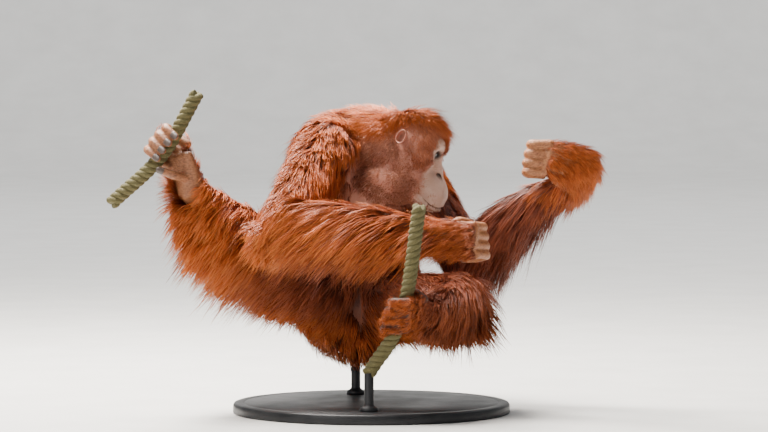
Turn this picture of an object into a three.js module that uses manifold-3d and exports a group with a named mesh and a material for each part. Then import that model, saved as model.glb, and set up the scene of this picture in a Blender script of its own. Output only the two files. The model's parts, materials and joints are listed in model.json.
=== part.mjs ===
// An adult female orangutan, life size, hanging between two ropes: the right foot grips one rope, the left
// foot the other, the right arm is bent across the belly and the left arm is raised, its hand folded back.
// A round base with two short rods carries her. Millimetres, +Z up; she is seen from -Y and looks to +X.
// Flesh is oval sections carried along curves. The long coat is flat, tapered locks fused to the flesh.
import * as THREE from 'three';
import { mergeVertices } from 'three/addons/utils/BufferGeometryUtils.js';
import Module from 'manifold-3d';

const wasm = await Module();
wasm.setup();

const v = (x, y, z) => new THREE.Vector3(x, y, z);
const degrees = THREE.MathUtils.degToRad;
const DOWN = v(0, 0, -1);

// Driving dimensions
const EYE_RADIUS = 11.5;
const FINGER_RADIUS = 8.8;
const FINGER_SPACING = 17.8;
const LOCK_THICKNESS = 9;
const LOCK_SINK = 10;
const ROPE_RADIUS = 14;
const BASE_RADIUS = 265;
const BASE_HEIGHT = 20;
const BASE_BEVEL = 3;
const ROD_RADIUS = 9;

// The gap between touching pieces, the length below which edges merge, and the start of the random numbers
const GAP = 0.4;
const MERGE = 0.15;
const SEED = 7;

// Joints of the skeleton, as centres of the flesh round them
const shoulderRight = v(-128, -112, 497);
const elbowRight = v(-191, -332, 373);
const wristRight = v(116, -303, 343);
const shoulderLeft = v(92, 62, 474);
const elbowLeft = v(163, -50, 275);
const wristLeft = v(368, -188, 440);
const hipRight = v(-107, -42, 196);
const kneeRight = v(-257, -150, 335);
const ankleRight = v(-366, -290, 432);
const hipLeft = v(-8, -32, 192);
const kneeLeft = v(141, -190, 222);
const ankleLeft = v(78, -362, 196);
const betweenEars = v(55, -73, 517);
const baseCentre = v(-24, -188, 0);

// How the head is turned: the face looks down by the pitch and towards the camera by the yaw
const HEAD_PITCH = degrees(30);
const HEAD_YAW = degrees(12);
const headForward = v(
  Math.cos(HEAD_PITCH) * Math.cos(HEAD_YAW),
  -Math.cos(HEAD_PITCH) * Math.sin(HEAD_YAW),
  -Math.sin(HEAD_PITCH),
);
const headLeft = v(Math.sin(HEAD_YAW), Math.cos(HEAD_YAW), 0);
const headUp = headForward.clone().cross(headLeft);
const headAxes = [headForward, headLeft, headUp];

// A point given by millimetres forward, left and up from the middle between the ears
const onHead = (forward, left, up) =>
  betweenEars
    .clone()
    .addScaledVector(headForward, forward)
    .addScaledVector(headLeft, left)
    .addScaledVector(headUp, up);

// Solids and geometries

// A manifold-3d solid from a three.js geometry, with its doubled vertices merged.
function solidOf(geometry) {
  const bare = geometry.clone();
  for (const name of Object.keys(bare.attributes)) {
    if (name !== 'position') bare.deleteAttribute(name);
  }
  const merged = mergeVertices(bare, 1e-4);
  const mesh = new wasm.Mesh({
    numProp: 3,
    vertProperties: new Float32Array(merged.attributes.position.array),
    triVerts: new Uint32Array(merged.index.array),
  });
  return new wasm.Manifold(mesh);
}

// A three.js geometry from a manifold-3d solid.
function geometryOf(solid) {
  const mesh = solid.getMesh();
  const places = new Float32Array(mesh.numVert * 3);
  for (let i = 0; i < mesh.numVert; i += 1) {
    places.set(mesh.vertProperties.subarray(i * mesh.numProp, i * mesh.numProp + 3), i * 3);
  }
  const geometry = new THREE.BufferGeometry();
  geometry.setAttribute('position', new THREE.BufferAttribute(places, 3));
  geometry.setIndex(new THREE.BufferAttribute(new Uint32Array(mesh.triVerts), 1));
  return geometry;
}

const joined = (solids) => wasm.Manifold.union(solids);

// The largest closed surface of a solid, without loose scraps.
function largest(solid) {
  return solid.decompose().reduce((a, b) => (b.volume() > a.volume() ? b : a));
}

// The solid with each face moved outwards, so that cutting with it leaves a gap. A corner moves along the
// mean of its faces' normals, weighted by their angles there, far enough to clear each of those faces.
function swollen(solid, by = GAP) {
  const geometry = geometryOf(solid);
  const places = geometry.attributes.position;
  const point = (i) => v(places.getX(i), places.getY(i), places.getZ(i));
  const touching = Array.from({ length: places.count }, () => []);
  for (let i = 0; i < geometry.index.count; i += 3) {
    const corners = [0, 1, 2].map((k) => geometry.index.getX(i + k));
    const [a, b, c] = corners.map(point);
    const normal = b.clone().sub(a).cross(c.clone().sub(a));
    if (normal.length() < 1e-4) continue;
    normal.normalize();
    [a, b, c].forEach((corner, k, all) => {
      const angle = all[(k + 1) % 3].clone().sub(corner).angleTo(all[(k + 2) % 3].clone().sub(corner));
      touching[corners[k]].push({ normal, angle });
    });
  }
  touching.forEach((faces, i) => {
    const mean = v(0, 0, 0);
    for (const { normal, angle } of faces) mean.addScaledVector(normal, angle);
    mean.normalize();
    const facing = Math.max(0.35, Math.min(...faces.map(({ normal }) => normal.dot(mean))));
    const moved = point(i).addScaledVector(mean, by / facing);
    places.setXYZ(i, ...moved.toArray());
  });
  return solidOf(geometry);
}

// A closed skin over rings of equal count, with a pole at each end.
function skinOver(rings, firstPole, lastPole) {
  const count = rings[0].length;
  const places = [firstPole, ...rings.flat(), lastPole].flatMap((p) => p.toArray());
  const index = [];
  const at = (ring, i) => 1 + ring * count + (i % count);
  const last = 1 + rings.length * count;
  for (let i = 0; i < count; i += 1) {
    index.push(0, at(0, i + 1), at(0, i));
    index.push(last, at(rings.length - 1, i), at(rings.length - 1, i + 1));
    for (let ring = 0; ring + 1 < rings.length; ring += 1) {
      index.push(at(ring, i), at(ring, i + 1), at(ring + 1, i + 1));
      index.push(at(ring, i), at(ring + 1, i + 1), at(ring + 1, i));
    }
  }
  const geometry = new THREE.BufferGeometry();
  geometry.setAttribute('position', new THREE.BufferAttribute(new Float32Array(places), 3));
  geometry.setIndex(index);
  return geometry;
}

// A body part as a smooth curve through its stations: [centre, half its width, half its depth, direction
// of its width].
class Limb {
  constructor(stations) {
    this.path = new THREE.CatmullRomCurve3(stations.map((s) => s[0]));
    this.size = new THREE.CatmullRomCurve3(stations.map((s) => v(s[1], s[2], 0)));
    this.across = new THREE.CatmullRomCurve3(stations.map((s) => s[3]));
  }

  // Centre, radii and axes of the section at t, from 0 to 1.
  section(t) {
    const centre = this.path.getPoint(t);
    const along = this.path.getTangent(t);
    const { x: wide, y: deep } = this.size.getPoint(t);
    const across = this.across.getPoint(t).addScaledVector(along, -this.across.getPoint(t).dot(along));
    across.normalize();
    const front = along.clone().cross(across);
    return { centre, along, wide, deep, across, front };
  }

  // The point of the surface at t and a turn round the section, with its outward normal.
  surface(t, turn) {
    const { centre, along, wide, deep, across, front } = this.section(t);
    const point = centre
      .clone()
      .addScaledVector(across, wide * Math.cos(turn))
      .addScaledVector(front, deep * Math.sin(turn));
    const normal = across
      .clone()
      .multiplyScalar(deep * Math.cos(turn))
      .addScaledVector(front, wide * Math.sin(turn))
      .normalize();
    return { point, normal, along, radius: (wide + deep) / 2 };
  }

  // The point moved straight outwards, if need be, until it is clear of the limb by a margin.
  cleared(point, margin) {
    const shares = Array.from({ length: 17 }, (_, i) => i / 16);
    const sections = shares.map((t) => this.section(t));
    const far = (section) => section.centre.distanceTo(point);
    const nearest = sections.reduce((a, b) => (far(b) < far(a) ? b : a));
    const offset = point.clone().sub(nearest.centre);
    const right = offset.dot(nearest.across);
    const front = offset.dot(nearest.front);
    const depth = Math.hypot(right / (nearest.wide + margin), front / (nearest.deep + margin));
    if (depth >= 1 || Math.abs(offset.dot(nearest.along)) > nearest.wide) return point;
    const lift = 1 / Math.max(depth, 0.05) - 1;
    return point
      .clone()
      .addScaledVector(nearest.across, right * lift)
      .addScaledVector(nearest.front, front * lift);
  }

  // The closed solid, with an end rounded over half its radius at both ends.
  solid(steps, sides, grow = 0) {
    const rings = [];
    const ringAt = (t, shrink, push) => {
      const { centre, along, wide, deep, across, front } = this.section(t);
      const middle = centre.clone().addScaledVector(along, push * Math.min(wide, deep));
      return Array.from({ length: sides }, (_, i) => {
        const turn = (2 * Math.PI * i) / sides;
        return middle
          .clone()
          .addScaledVector(across, (wide * shrink + grow) * Math.cos(turn))
          .addScaledVector(front, (deep * shrink + grow) * Math.sin(turn));
      });
    };
    rings.push(ringAt(0, 0.66, -0.42));
    for (let i = 0; i <= steps; i += 1) rings.push(ringAt(i / steps, 1, 0));
    rings.push(ringAt(1, 0.66, 0.42));
    const start = this.section(0);
    const end = this.section(1);
    const reach = (s) => Math.min(s.wide, s.deep) * 0.6 + grow;
    const firstPole = start.centre.clone().addScaledVector(start.along, -reach(start));
    const lastPole = end.centre.clone().addScaledVector(end.along, reach(end));
    return solidOf(skinOver(rings, firstPole, lastPole));
  }
}

// A solid ball, or an egg shape when its radii differ, turned to the given axes.
function egg(centre, radii, sides = 16, axes = [v(1, 0, 0), v(0, 1, 0), v(0, 0, 1)]) {
  const geometry = new THREE.SphereGeometry(1, sides, Math.round(sides * 0.66));
  const turn = new THREE.Matrix4().makeBasis(
    axes[0].clone().multiplyScalar(radii[0]),
    axes[1].clone().multiplyScalar(radii[1]),
    axes[2].clone().multiplyScalar(radii[2]),
  );
  turn.setPosition(centre);
  return solidOf(geometry.applyMatrix4(turn));
}

// A round bar along a curve through the points, with its radius at each point.
function bar(points, radii, steps, sides) {
  const direction = points[points.length - 1].clone().sub(points[0]).normalize();
  const side = Math.abs(direction.z) < 0.8 ? v(0, 0, 1) : v(1, 0, 0);
  const stations = points.map((p, i) => [p, radii[i], radii[i], side]);
  return new Limb(stations).solid(steps, sides);
}

// A straight cylinder with flat ends, from one point to another.
function rod(from, to, radius, sides) {
  const length = from.distanceTo(to);
  const geometry = new THREE.CylinderGeometry(radius, radius, length, sides);
  const turn = new THREE.Quaternion().setFromUnitVectors(v(0, 1, 0), to.clone().sub(from).normalize());
  geometry.applyQuaternion(turn);
  const middle = from.clone().add(to).multiplyScalar(0.5);
  geometry.translate(middle.x, middle.y, middle.z);
  return solidOf(geometry);
}

// The two halves of a solid on either side of a plane, with a thin gap between them.
function partedAt(solid, point, normal) {
  const n = normal.clone().normalize();
  const offset = point.dot(n);
  const before = solid.trimByPlane(n.clone().negate().toArray(), -offset + GAP / 2);
  const after = solid.trimByPlane(n.toArray(), offset + GAP / 2);
  return [before, after];
}

// The trunk, from the rump to the root of the neck. Each facing is the direction of the chest in degrees
// from +X towards the camera, so the width direction, towards her left, is a quarter turn from it.
const leftOf = (facing) => v(Math.sin(degrees(facing)), Math.cos(degrees(facing)), 0);
const trunk = new Limb([
  [v(-55, -24, 146), 82, 68, leftOf(78)],
  [v(-58, -12, 190), 116, 92, leftOf(74)],
  [v(-64, 10, 258), 130, 112, leftOf(68)],
  [v(-66, 16, 346), 138, 114, leftOf(64)],
  [v(-62, 12, 424), 140, 106, leftOf(60)],
  [v(-50, 4, 486), 122, 88, leftOf(58)],
  [v(-24, -22, 522), 62, 59, leftOf(50)],
]);
const neck = new Limb([
  [v(-40, -6, 486), 86, 67, headLeft],
  [v(-8, -34, 500), 76, 71, headLeft],
  [v(28, -62, 498), 60, 64, headLeft],
]);
const throat = new Limb([
  [v(-12, -52, 438), 62, 46, headLeft],
  [v(34, -72, 440), 56, 48, headLeft],
  [v(72, -82, 432), 36, 34, headLeft],
]);

// Arms and legs: each segment runs from joint to joint and its first end is cut by the segment before it
const UP = v(0, 0, 1);
const between = (a, b, share) => a.clone().lerp(b, share);

// A segment from one joint to the next, with its radii at the start, along it and at the end.
function segment(from, to, radii, side, bow = v(0, 0, 0)) {
  const last = radii.length - 1;
  const stations = radii.map((radius, i) => {
    const share = i / last;
    const centre = between(from, to, share).addScaledVector(bow, 4 * share * (1 - share));
    return [centre, radius[0], radius[1], side];
  });
  return new Limb(stations);
}

const armRadii = [[60, 58], [56, 55], [50, 50], [43, 44], [39, 41]];
const forearmRadii = [[39, 39], [45, 42], [43, 39], [34, 31], [27, 21]];
const thighRadii = [[76, 76], [68, 68], [60, 62], [51, 53], [46, 48]];
const shankRadii = [[44, 45], [46, 46], [40, 41], [31, 32], [27, 26]];
const upperArmRight = segment(shoulderRight.clone().add(v(20, 24, 4)), elbowRight, armRadii, UP);
const forearmRight = segment(elbowRight, wristRight, forearmRadii, UP, v(0, -16, 4));
const upperArmLeft = segment(shoulderLeft.clone().add(v(-50, -6, -8)), elbowLeft, armRadii, v(1, 0, 0));
const forearmLeft = segment(elbowLeft, wristLeft, forearmRadii, v(0, -0.7, 0.7), v(-10, 0, 16));
const thighRight = segment(hipRight.clone().add(v(26, 8, -4)), kneeRight, thighRadii, UP);
const shankRight = segment(kneeRight, ankleRight, shankRadii, UP, v(0, 0, -6));
const thighLeft = segment(hipLeft.clone().add(v(-22, 10, -2)), kneeLeft, thighRadii, UP);
const shankLeft = segment(kneeLeft, ankleLeft, shankRadii, UP, v(4, 0, -4));

const LIMB_SIDES = 10;
const LIMB_STEPS = 6;

// Locks of the coat: flat strands with a diamond section, as [share of the length, share of the width]
const LOCK_TAPER = [
  [0.03, 0.75],
  [0.4, 1],
  [0.78, 0.62],
];
let seed = SEED;

// The next of a fixed run of numbers between -1 and 1.
function scatter() {
  seed = (seed * 16807) % 2147483647;
  return (2 * seed) / 2147483647 - 1;
}

// One lock along its path; across is the direction of its width. A grown lock leaves room for a gap: its thin
// diamond section moves out by more than the gap at its edges, and its tip by more still.
const GROW_SIDES = 1.5;
const GROW_ROOT = 2;
const GROW_TIP = 3;
function lock({ path, across, width, thickness }, grow = 0) {
  const curve = new THREE.CatmullRomCurve3(path);
  const rings = LOCK_TAPER.map(([share, scale]) => {
    const centre = curve.getPoint(share);
    const along = curve.getTangent(share);
    const side = across.clone().addScaledVector(along, -across.dot(along)).normalize();
    const front = along.clone().cross(side);
    const halfWidth = (scale * width) / 2 + GROW_SIDES * grow;
    const halfThickness = (scale * thickness) / 2 + GROW_SIDES * grow;
    return [
      centre.clone().addScaledVector(side, halfWidth),
      centre.clone().addScaledVector(front, halfThickness),
      centre.clone().addScaledVector(side, -halfWidth),
      centre.clone().addScaledVector(front, -halfThickness),
    ];
  });
  const start = path[0].clone().addScaledVector(curve.getTangent(0), -GROW_ROOT * grow);
  const tip = path[path.length - 1].clone().addScaledVector(curve.getTangent(1), GROW_TIP * grow);
  return solidOf(skinOver(rings, start, tip));
}

// The course of one lock from its root: it leaves the flesh at a slant, follows the lie, sags, and stays
// clear of the flesh.
function lockFrom(limb, { point, normal }, lie, size) {
  const path = [point.clone().addScaledVector(normal, -LOCK_SINK)];
  let place = point.clone();
  const way = lie.clone().addScaledVector(normal, 0.3).normalize();
  const parts = 4;
  for (let i = 0; i < parts; i += 1) {
    way.addScaledVector(DOWN, size.sag).normalize();
    place = limb.cleared(place.clone().addScaledVector(way, size.length / parts), size.stand);
    path.push(place);
  }
  const across = normal.clone().cross(path[2].clone().sub(path[0])).normalize();
  return { path, across, width: size.width, thickness: LOCK_THICKNESS };
}

// Rows of locks round a limb: shorter where the flesh faces up, longer where it faces down.
function locksOn(limb, coat) {
  const { toEnd, rows, around, short, long, width, sag, first = 0.1, last = 0.9, wanted = () => true } = coat;
  const locks = [];
  for (let row = 0; row < rows; row += 1) {
    const share = first + ((last - first) * (row + 0.5)) / rows;
    for (let i = 0; i < around; i += 1) {
      const turn = (2 * Math.PI * (i + (row % 2) / 2 + 0.15 * scatter())) / around;
      const root = limb.surface(share + 0.03 * scatter(), turn);
      if (!wanted(root)) continue;
      const under = (1 - root.normal.z) / 2;
      const size = {
        length: (short + (long - short) * under) * (1 + 0.12 * scatter()),
        width: width * (1 + 0.15 * scatter()),
        sag,
        stand: 6,
      };
      const lie = root.along.clone().multiplyScalar(toEnd ? 1 : -1);
      locks.push(lockFrom(limb, root, lie, size));
    }
  }
  return locks;
}

// Head: blended egg shapes, in millimetres forward, left and up from the middle between the ears
const eggs = [
  { name: 'brain case', at: [2, 0, 4], radii: [62, 56, 51] },
  { name: 'forehead', at: [34, 0, 18], radii: [22, 36, 19] },
  { name: 'root of the nose', at: [54, 0, -8], radii: [12, 10, 14] },
  { name: 'nose', at: [66, 0, -28], radii: [15, 14, 12] },
  { name: 'muzzle', at: [68, 0, -60], radii: [40, 36, 28] },
  { name: 'upper lip', at: [90, 0, -70], radii: [20, 31, 14] },
  { name: 'chin', at: [80, 0, -92], radii: [31, 28, 13] },
];
const pairedEggs = [
  { name: 'brow', at: [42, 18, 20], radii: [13, 17, 8] },
  { name: 'cheekbone', at: [38, 36, -14], radii: [22, 20, 19] },
  { name: 'jaw', at: [16, 38, -38], radii: [32, 16, 38] },
  { name: 'side of the jaw', at: [46, 24, -68], radii: [36, 16, 26] },
];
const dents = [
  { name: 'eye socket', at: [62, 19, 1], width: 11, depth: 10 },
  { name: 'side of the nose', at: [78, 21, -26], width: 9, depth: 4 },
];
const headMiddle = [30, 0, -15];
const FRINGE = 0.5;
const HEAD_BLEND = 6;
const HEAD_TILT = 0.45;
const [eyeForward, eyeSide, eyeUp] = [46, 18.5, 1];
const SIDES = [1, -1];
const mirrored = (at, side) => [at[0], at[1] * side, at[2]];
const headShapes = [
  ...eggs,
  ...SIDES.flatMap((side) => pairedEggs.map((shape) => ({ ...shape, at: mirrored(shape.at, side) }))),
];
const headDents = SIDES.flatMap((side) => dents.map((dent) => ({ ...dent, at: mirrored(dent.at, side) })));

// Depth at a point of the head's frame: below 0 inside the head.
function headDepth(x, y, z) {
  let sum = 0;
  for (const { at, radii } of headShapes) {
    const far = Math.hypot((x - at[0]) / radii[0], (y - at[1]) / radii[1], (z - at[2]) / radii[2]);
    sum += Math.exp(((1 - far) * Math.min(...radii)) / HEAD_BLEND);
  }
  let depth = -HEAD_BLEND * Math.log(sum);
  for (const { at, width, depth: most } of headDents) {
    const far = Math.hypot(x - at[0], y - at[1], z - at[2]) / width;
    depth += most * Math.exp(-far * far);
  }
  return depth;
}

// The point of the head's surface in a direction from its middle, lifted outwards by some millimetres.
function headSurface(forward, left, up, lift = 0) {
  const far = Math.hypot(forward, left, up);
  const ray = [forward / far, left / far, up / far];
  const along = (reach) => headMiddle.map((start, i) => start + ray[i] * reach);
  let inside = 10;
  let outside = 190;
  for (let i = 0; i < 24; i += 1) {
    const middle = (inside + outside) / 2;
    if (headDepth(...along(middle)) < 0) inside = middle;
    else outside = middle;
  }
  return onHead(...along(inside + lift));
}

// The head as rings of rays round the muzzle's axis, closer together on the face.
function headSolid(ringCount, sides) {
  const direction = (polar, turn) => {
    const forward = Math.cos(polar);
    const left = Math.sin(polar) * Math.sin(turn);
    const up = Math.sin(polar) * Math.cos(turn);
    const [c, s] = [Math.cos(HEAD_TILT), Math.sin(HEAD_TILT)];
    return [forward * c + up * s, left, up * c - forward * s];
  };
  const rings = [];
  for (let ring = 1; ring < ringCount; ring += 1) {
    const polar = Math.PI * (ring / ringCount) ** 1.3;
    rings.push(
      Array.from({ length: sides }, (_, i) => headSurface(...direction(polar, (2 * Math.PI * i) / sides))),
    );
  }
  return solidOf(skinOver(rings, headSurface(...direction(0, 0)), headSurface(...direction(Math.PI, 0))));
}

const eyeAt = (side) => onHead(eyeForward, side * eyeSide, eyeUp);
const eye = (side) => egg(eyeAt(side), [EYE_RADIUS, EYE_RADIUS, EYE_RADIUS], 10, headAxes);

// One eyelid: a thin bar round the eyeball, arched upwards or downwards.
function eyelid(side, arch) {
  const reach = EYE_RADIUS + 0.9;
  const points = [-1.05, -0.55, 0, 0.55, 1.05].map((turn) => {
    const way = v(Math.cos(turn), Math.sin(turn), arch * Math.cos(turn)).normalize();
    return eyeAt(side)
      .addScaledVector(headForward, reach * way.x)
      .addScaledVector(headLeft, reach * way.y)
      .addScaledVector(headUp, reach * way.z);
  });
  return bar(points, [2.4, 2.9, 3.1, 2.9, 2.4], 5, 5);
}

// A bar that follows the mouth from corner to corner, lowered and lifted off the skin. The corners lie
// further back and higher than its middle.
function alongMouth(drop, lift, radius, steps) {
  const shares = [-1.12, -0.75, -0.35, 0, 0.35, 0.75, 1.12];
  const points = shares.map((share) => {
    const back = share * share;
    return headSurface(80 - 29 * back, 28 * share, -67 + 9 * back - drop, lift);
  });
  const radii = shares.map((share) => radius * (1 - 0.3 * Math.abs(share)));
  return bar(points, radii, steps, 5);
}

// The head's own point forward, left and up, from a point of the model.
function inHead(point) {
  const offset = point.clone().sub(betweenEars);
  return headAxes.map((axis) => offset.dot(axis));
}

// The head as a form that locks lie on: a point too close to it is moved out along the ray from its middle.
const headForm = {
  cleared(point, margin) {
    const local = inHead(point);
    if (headDepth(...local) >= margin) return point;
    return headSurface(...local.map((place, i) => place - headMiddle[i]), margin);
  },
};

// Locks of the head, in rings down from the crown: [angle from the crown, count, length, bare angle in
// front].
function headLocks() {
  const rings = [
    [22, 4, 52, 0],
    [52, 6, 56, 0],
    [88, 7, 60, 100],
    [112, 8, 56, 66],
  ];
  const locks = [];
  for (const [polar, count, length, bare] of rings) {
    for (let i = 0; i < count; i += 1) {
      const turn = (360 * (i + 0.5)) / count;
      if (Math.min(turn, 360 - turn) < bare) continue;
      const [flat, high] = [Math.sin(degrees(polar)), Math.cos(degrees(polar))];
      const [ahead, aside] = [Math.cos(degrees(turn)), Math.sin(degrees(turn))];
      const point = headSurface(flat * ahead, flat * aside, high);
      const normal = onHead(flat * ahead, flat * aside, high).sub(betweenEars);
      const lie = onHead(high * ahead, high * aside, -flat).sub(betweenEars);
      const shortened = ahead > 0.4 ? FRINGE : 1;
      const size = { length: shortened * length * (1 + 0.1 * scatter()), width: 46, sag: 0.12, stand: 4 };
      locks.push(lockFrom(headForm, { point, normal }, lie, size));
    }
  }
  return locks;
}

// The face: open sockets round the eyes with lids, nostrils, and the line of the mouth between two lips.
function faceOn(skull) {
  const open = SIDES.flatMap((side) => [
    egg(onHead(eyeForward + 13, side * (eyeSide + 1), eyeUp), [10, 11, 6.5], 10, headAxes),
    egg(headSurface(52, side * 11.5, -20.5), [8, 3.8, 5.5], 8, headAxes),
  ]);
  const raised = [
    alongMouth(-6.5, -2.8, 6, 8),
    alongMouth(7, -3, 5.5, 8),
    ...SIDES.flatMap((side) => [eyelid(side, 0.5), eyelid(side, -0.55)]),
  ];
  return joined([skull.subtract(joined(open)), ...raised]).subtract(alongMouth(0, 0.8, 2.4, 8));
}

// Hands and feet: a palm or sole with its fingers or toes, each bent at three joints.

// An oval pad from the wrist to the knuckles: width along side, thickness along the back of the hand.
function palm(from, to, side, halfWidths, halfThicknesses) {
  const middle = between(from, to, 0.5);
  return new Limb([
    [from, halfWidths[0], halfThicknesses[0], side],
    [middle, halfWidths[1], halfThicknesses[1], side],
    [to, halfWidths[2], halfThicknesses[2], side],
  ]).solid(2, 9);
}

// One finger through its joints, thickest at the knuckle and blunt at the tip.
function finger(joints, steps = 5) {
  const radii = joints.map((_, i) => FINGER_RADIUS * (1.04 - (0.2 * i) / (joints.length - 1)));
  return bar(joints, radii, steps, 5);
}

// Four fingers side by side: the middle one's joints, moved along the knuckles and shortened at the sides.
function fingers(joints, spread) {
  const knuckle = joints[0];
  return [-1.5, -0.5, 0.5, 1.5].map((share) => {
    const scale = 1 - 0.05 * Math.abs(share);
    const start = knuckle.clone().addScaledVector(spread, share * FINGER_SPACING);
    return finger(joints.map((joint) => start.clone().addScaledVector(joint.clone().sub(knuckle), scale)));
  });
}

const stepsFrom = (start, steps) => steps.map((step) => start.clone().add(step));

// The right hand lies across the belly, the back to the camera, its fingers bent away and under.
function handRight() {
  const knuckles = v(170, -308, 337);
  const spread = v(-0.1, 0.05, 1).normalize();
  const joints = stepsFrom(knuckles, [v(0, 0, 0), v(22, 30, -4), v(4, 62, -12), v(-22, 58, -14)]);
  return joined([
    palm(wristRight.clone().add(v(-16, 0, 3)), knuckles, spread, [27, 32, 34], [19, 16, 13]),
    ...fingers(joints, spread),
    finger(stepsFrom(knuckles, [v(-50, 8, 22), v(-28, 30, 34), v(-6, 42, 30)]), 4),
  ]);
}

// The left hand is folded back from its wrist, the back to the camera and the fingers bent away from it.
function handLeft() {
  const knuckles = v(312, -222, 488);
  const spread = v(0.16, -0.06, 1).normalize();
  const joints = stepsFrom(knuckles, [v(0, 0, 0), v(-38, 6, 0), v(-36, 46, -6), v(-4, 52, -10)]);
  return joined([
    palm(v(386, -208, 468), knuckles, spread, [34, 36, 35], [20, 17, 13]),
    ...fingers(joints, spread),
    finger(stepsFrom(knuckles, [v(46, 34, -14), v(24, 52, -18), v(2, 54, -26)]), 4),
  ]);
}
const wristOfHandLeft = () => palm(wristLeft, v(382, -208, 470), v(0.7, 0, 0.7), [27, 30, 33], [26, 24, 20]);

// Ropes, each bent a little where the foot pulls it
const ropeRightGrip = v(-407, -300, 510);
const ropeRightPath = [v(-513, -300, 406), ropeRightGrip.clone().add(v(-12, 0, -14)), v(-352, -300, 612)];
const ropeRightAxis = v(0.63, 0, 0.77).normalize();
const ropeLeftGrip = v(34, -392, 201);
const ropeLeftPath = [v(-28, -386, 92), ropeLeftGrip, v(66, -400, 404)];
const ropeLeftAxis = v(0.27, -0.01, 0.96).normalize();

// A rope as a round bar with flat cut ends.
function rope(path) {
  const curve = new THREE.CatmullRomCurve3(path);
  const rings = curve.getPoints(8).map((centre, i, all) => {
    const along = all[Math.min(i + 1, 8)].clone().sub(all[Math.max(i - 1, 0)]).normalize();
    const side = v(0, 1, 0).addScaledVector(along, -along.y).normalize();
    const other = along.clone().cross(side);
    return Array.from({ length: 12 }, (_, k) => {
      const turn = (2 * Math.PI * k) / 12;
      return centre
        .clone()
        .addScaledVector(side, ROPE_RADIUS * Math.cos(turn))
        .addScaledVector(other, ROPE_RADIUS * Math.sin(turn));
    });
  });
  return solidOf(skinOver(rings, path[0], path[path.length - 1]));
}

// The right foot: sole behind the rope on its right side, toes round its far side to the front.
function footRight() {
  const out = v(-0.77, 0, 0.63);
  const at = (left, away) => ropeRightGrip.clone().addScaledVector(out, left).add(v(0, away, 0));
  const joints = [at(-24, 18), at(26, 33), at(30, -10), at(4, -25)];
  const width = v(0.3, -0.5, 0.6).normalize();
  return joined([
    palm(ankleRight.clone().add(v(4, 4, -6)), at(-28, 16), width, [29, 33, 35], [26, 19, 14]),
    ...fingers(joints, ropeRightAxis),
    finger(stepsFrom(ankleRight, [v(-2, -14, 20), v(-30, -32, 28), v(-56, -36, 38)]), 4),
  ]);
}

// The left foot: sole in front of the rope, toes round its far left side to the back.
function footLeft() {
  const at = (right, near, up = 0) => ropeLeftGrip.clone().add(v(right, -near, up));
  const joints = [at(6, 27), at(-26, 21), at(-27, -14), at(-2, -25)];
  return joined([
    palm(ankleLeft.clone().add(v(4, 8, 2)), at(10, 28), UP, [28, 34, 34], [24, 19, 13]),
    ...fingers(joints, ropeLeftAxis),
    finger([at(40, 8, 30), at(26, -14, 40), at(4, -24, 44)], 4),
  ]);
}

// An ear: a small cup with a thick rim, open forwards and outwards.
function ear(side) {
  const shell = egg(onHead(-11, side * 60, 1), [10, 9, 15.5], 9, headAxes);
  const hollow = egg(onHead(-7.5, side * 67.5, 2), [6, 8.5, 10.5], 8, headAxes);
  return shell.subtract(hollow);
}

// A lower segment cut off square near its end, and the wrist or ankle that starts there.
function partedEnd(limb, extremity) {
  const { centre, along } = limb.section(0.97);
  const whole = limb.solid(LIMB_STEPS, LIMB_SIDES);
  return [partedAt(whole, centre, along)[0], partedAt(extremity, centre, along)[1]];
}
const [forearmRightPart, handRightPart] = partedEnd(forearmRight, handRight());
const [forearmLeftPart, wristLeftPart] = partedEnd(forearmLeft, wristOfHandLeft());
const [shankRightPart, footRightPart] = partedEnd(shankRight, footRight());
const [shankLeftPart, footLeftPart] = partedEnd(shankLeft, footLeft());

// The stand: a round base, a rod up into the rump and a short one to the cut end of the left foot's rope.
const rumpRodTop = v(-55, -24, 140);
const ropeRodTop = ropeLeftPath[0].clone().add(v(0, 0, 20));
function standBase() {
  const plate = new THREE.CylinderGeometry(BASE_RADIUS - BASE_BEVEL, BASE_RADIUS, BASE_HEIGHT, 40);
  plate.rotateX(Math.PI / 2);
  plate.translate(baseCentre.x, baseCentre.y, BASE_HEIGHT / 2);
  return solidOf(plate);
}
const standRod = (top) => rod(v(top.x, top.y, BASE_HEIGHT + GAP), top, ROD_RADIUS, 16);

// Every piece in the order of cutting: each one gives way to the pieces before it, by a thin gap.
const pieces = [
  ['rope_right_foot', rope(ropeRightPath)],
  ['rope_left_foot', rope(ropeLeftPath)],
  ['eye_right', eye(-1)],
  ['eye_left', eye(1)],
  ['head', faceOn(headSolid(16, 20))],
  ['ear_right', ear(-1)],
  ['ear_left', ear(1)],
  ['trunk', joined([trunk.solid(9, 15), neck.solid(2, 10), throat.solid(2, 8)])],
  ['upper_arm_right', upperArmRight.solid(LIMB_STEPS, LIMB_SIDES)],
  ['upper_arm_left', upperArmLeft.solid(LIMB_STEPS, LIMB_SIDES)],
  ['thigh_right', thighRight.solid(LIMB_STEPS, LIMB_SIDES)],
  ['thigh_left', thighLeft.solid(LIMB_STEPS, LIMB_SIDES)],
  ['forearm_right', forearmRightPart],
  ['forearm_left', forearmLeftPart],
  ['shank_right', shankRightPart],
  ['shank_left', shankLeftPart],
  ['hand_right', handRightPart],
  ['hand_left', joined([wristLeftPart, handLeft()])],
  ['foot_right', footRightPart],
  ['foot_left', footLeftPart],
  ['stand_base', standBase()],
  ['stand_rod_rump', standRod(rumpRodTop)],
  ['stand_rod_rope', standRod(ropeRodTop)],
];
const flesh = new Map();
for (const [name, whole] of pieces) {
  let solid = whole;
  for (const { cutter } of flesh.values()) {
    if (solid.intersect(cutter).volume() > 0) solid = solid.subtract(cutter);
  }
  flesh.set(name, { solid: largest(solid.simplify(MERGE)), cutter: swollen(whole) });
}

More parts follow.
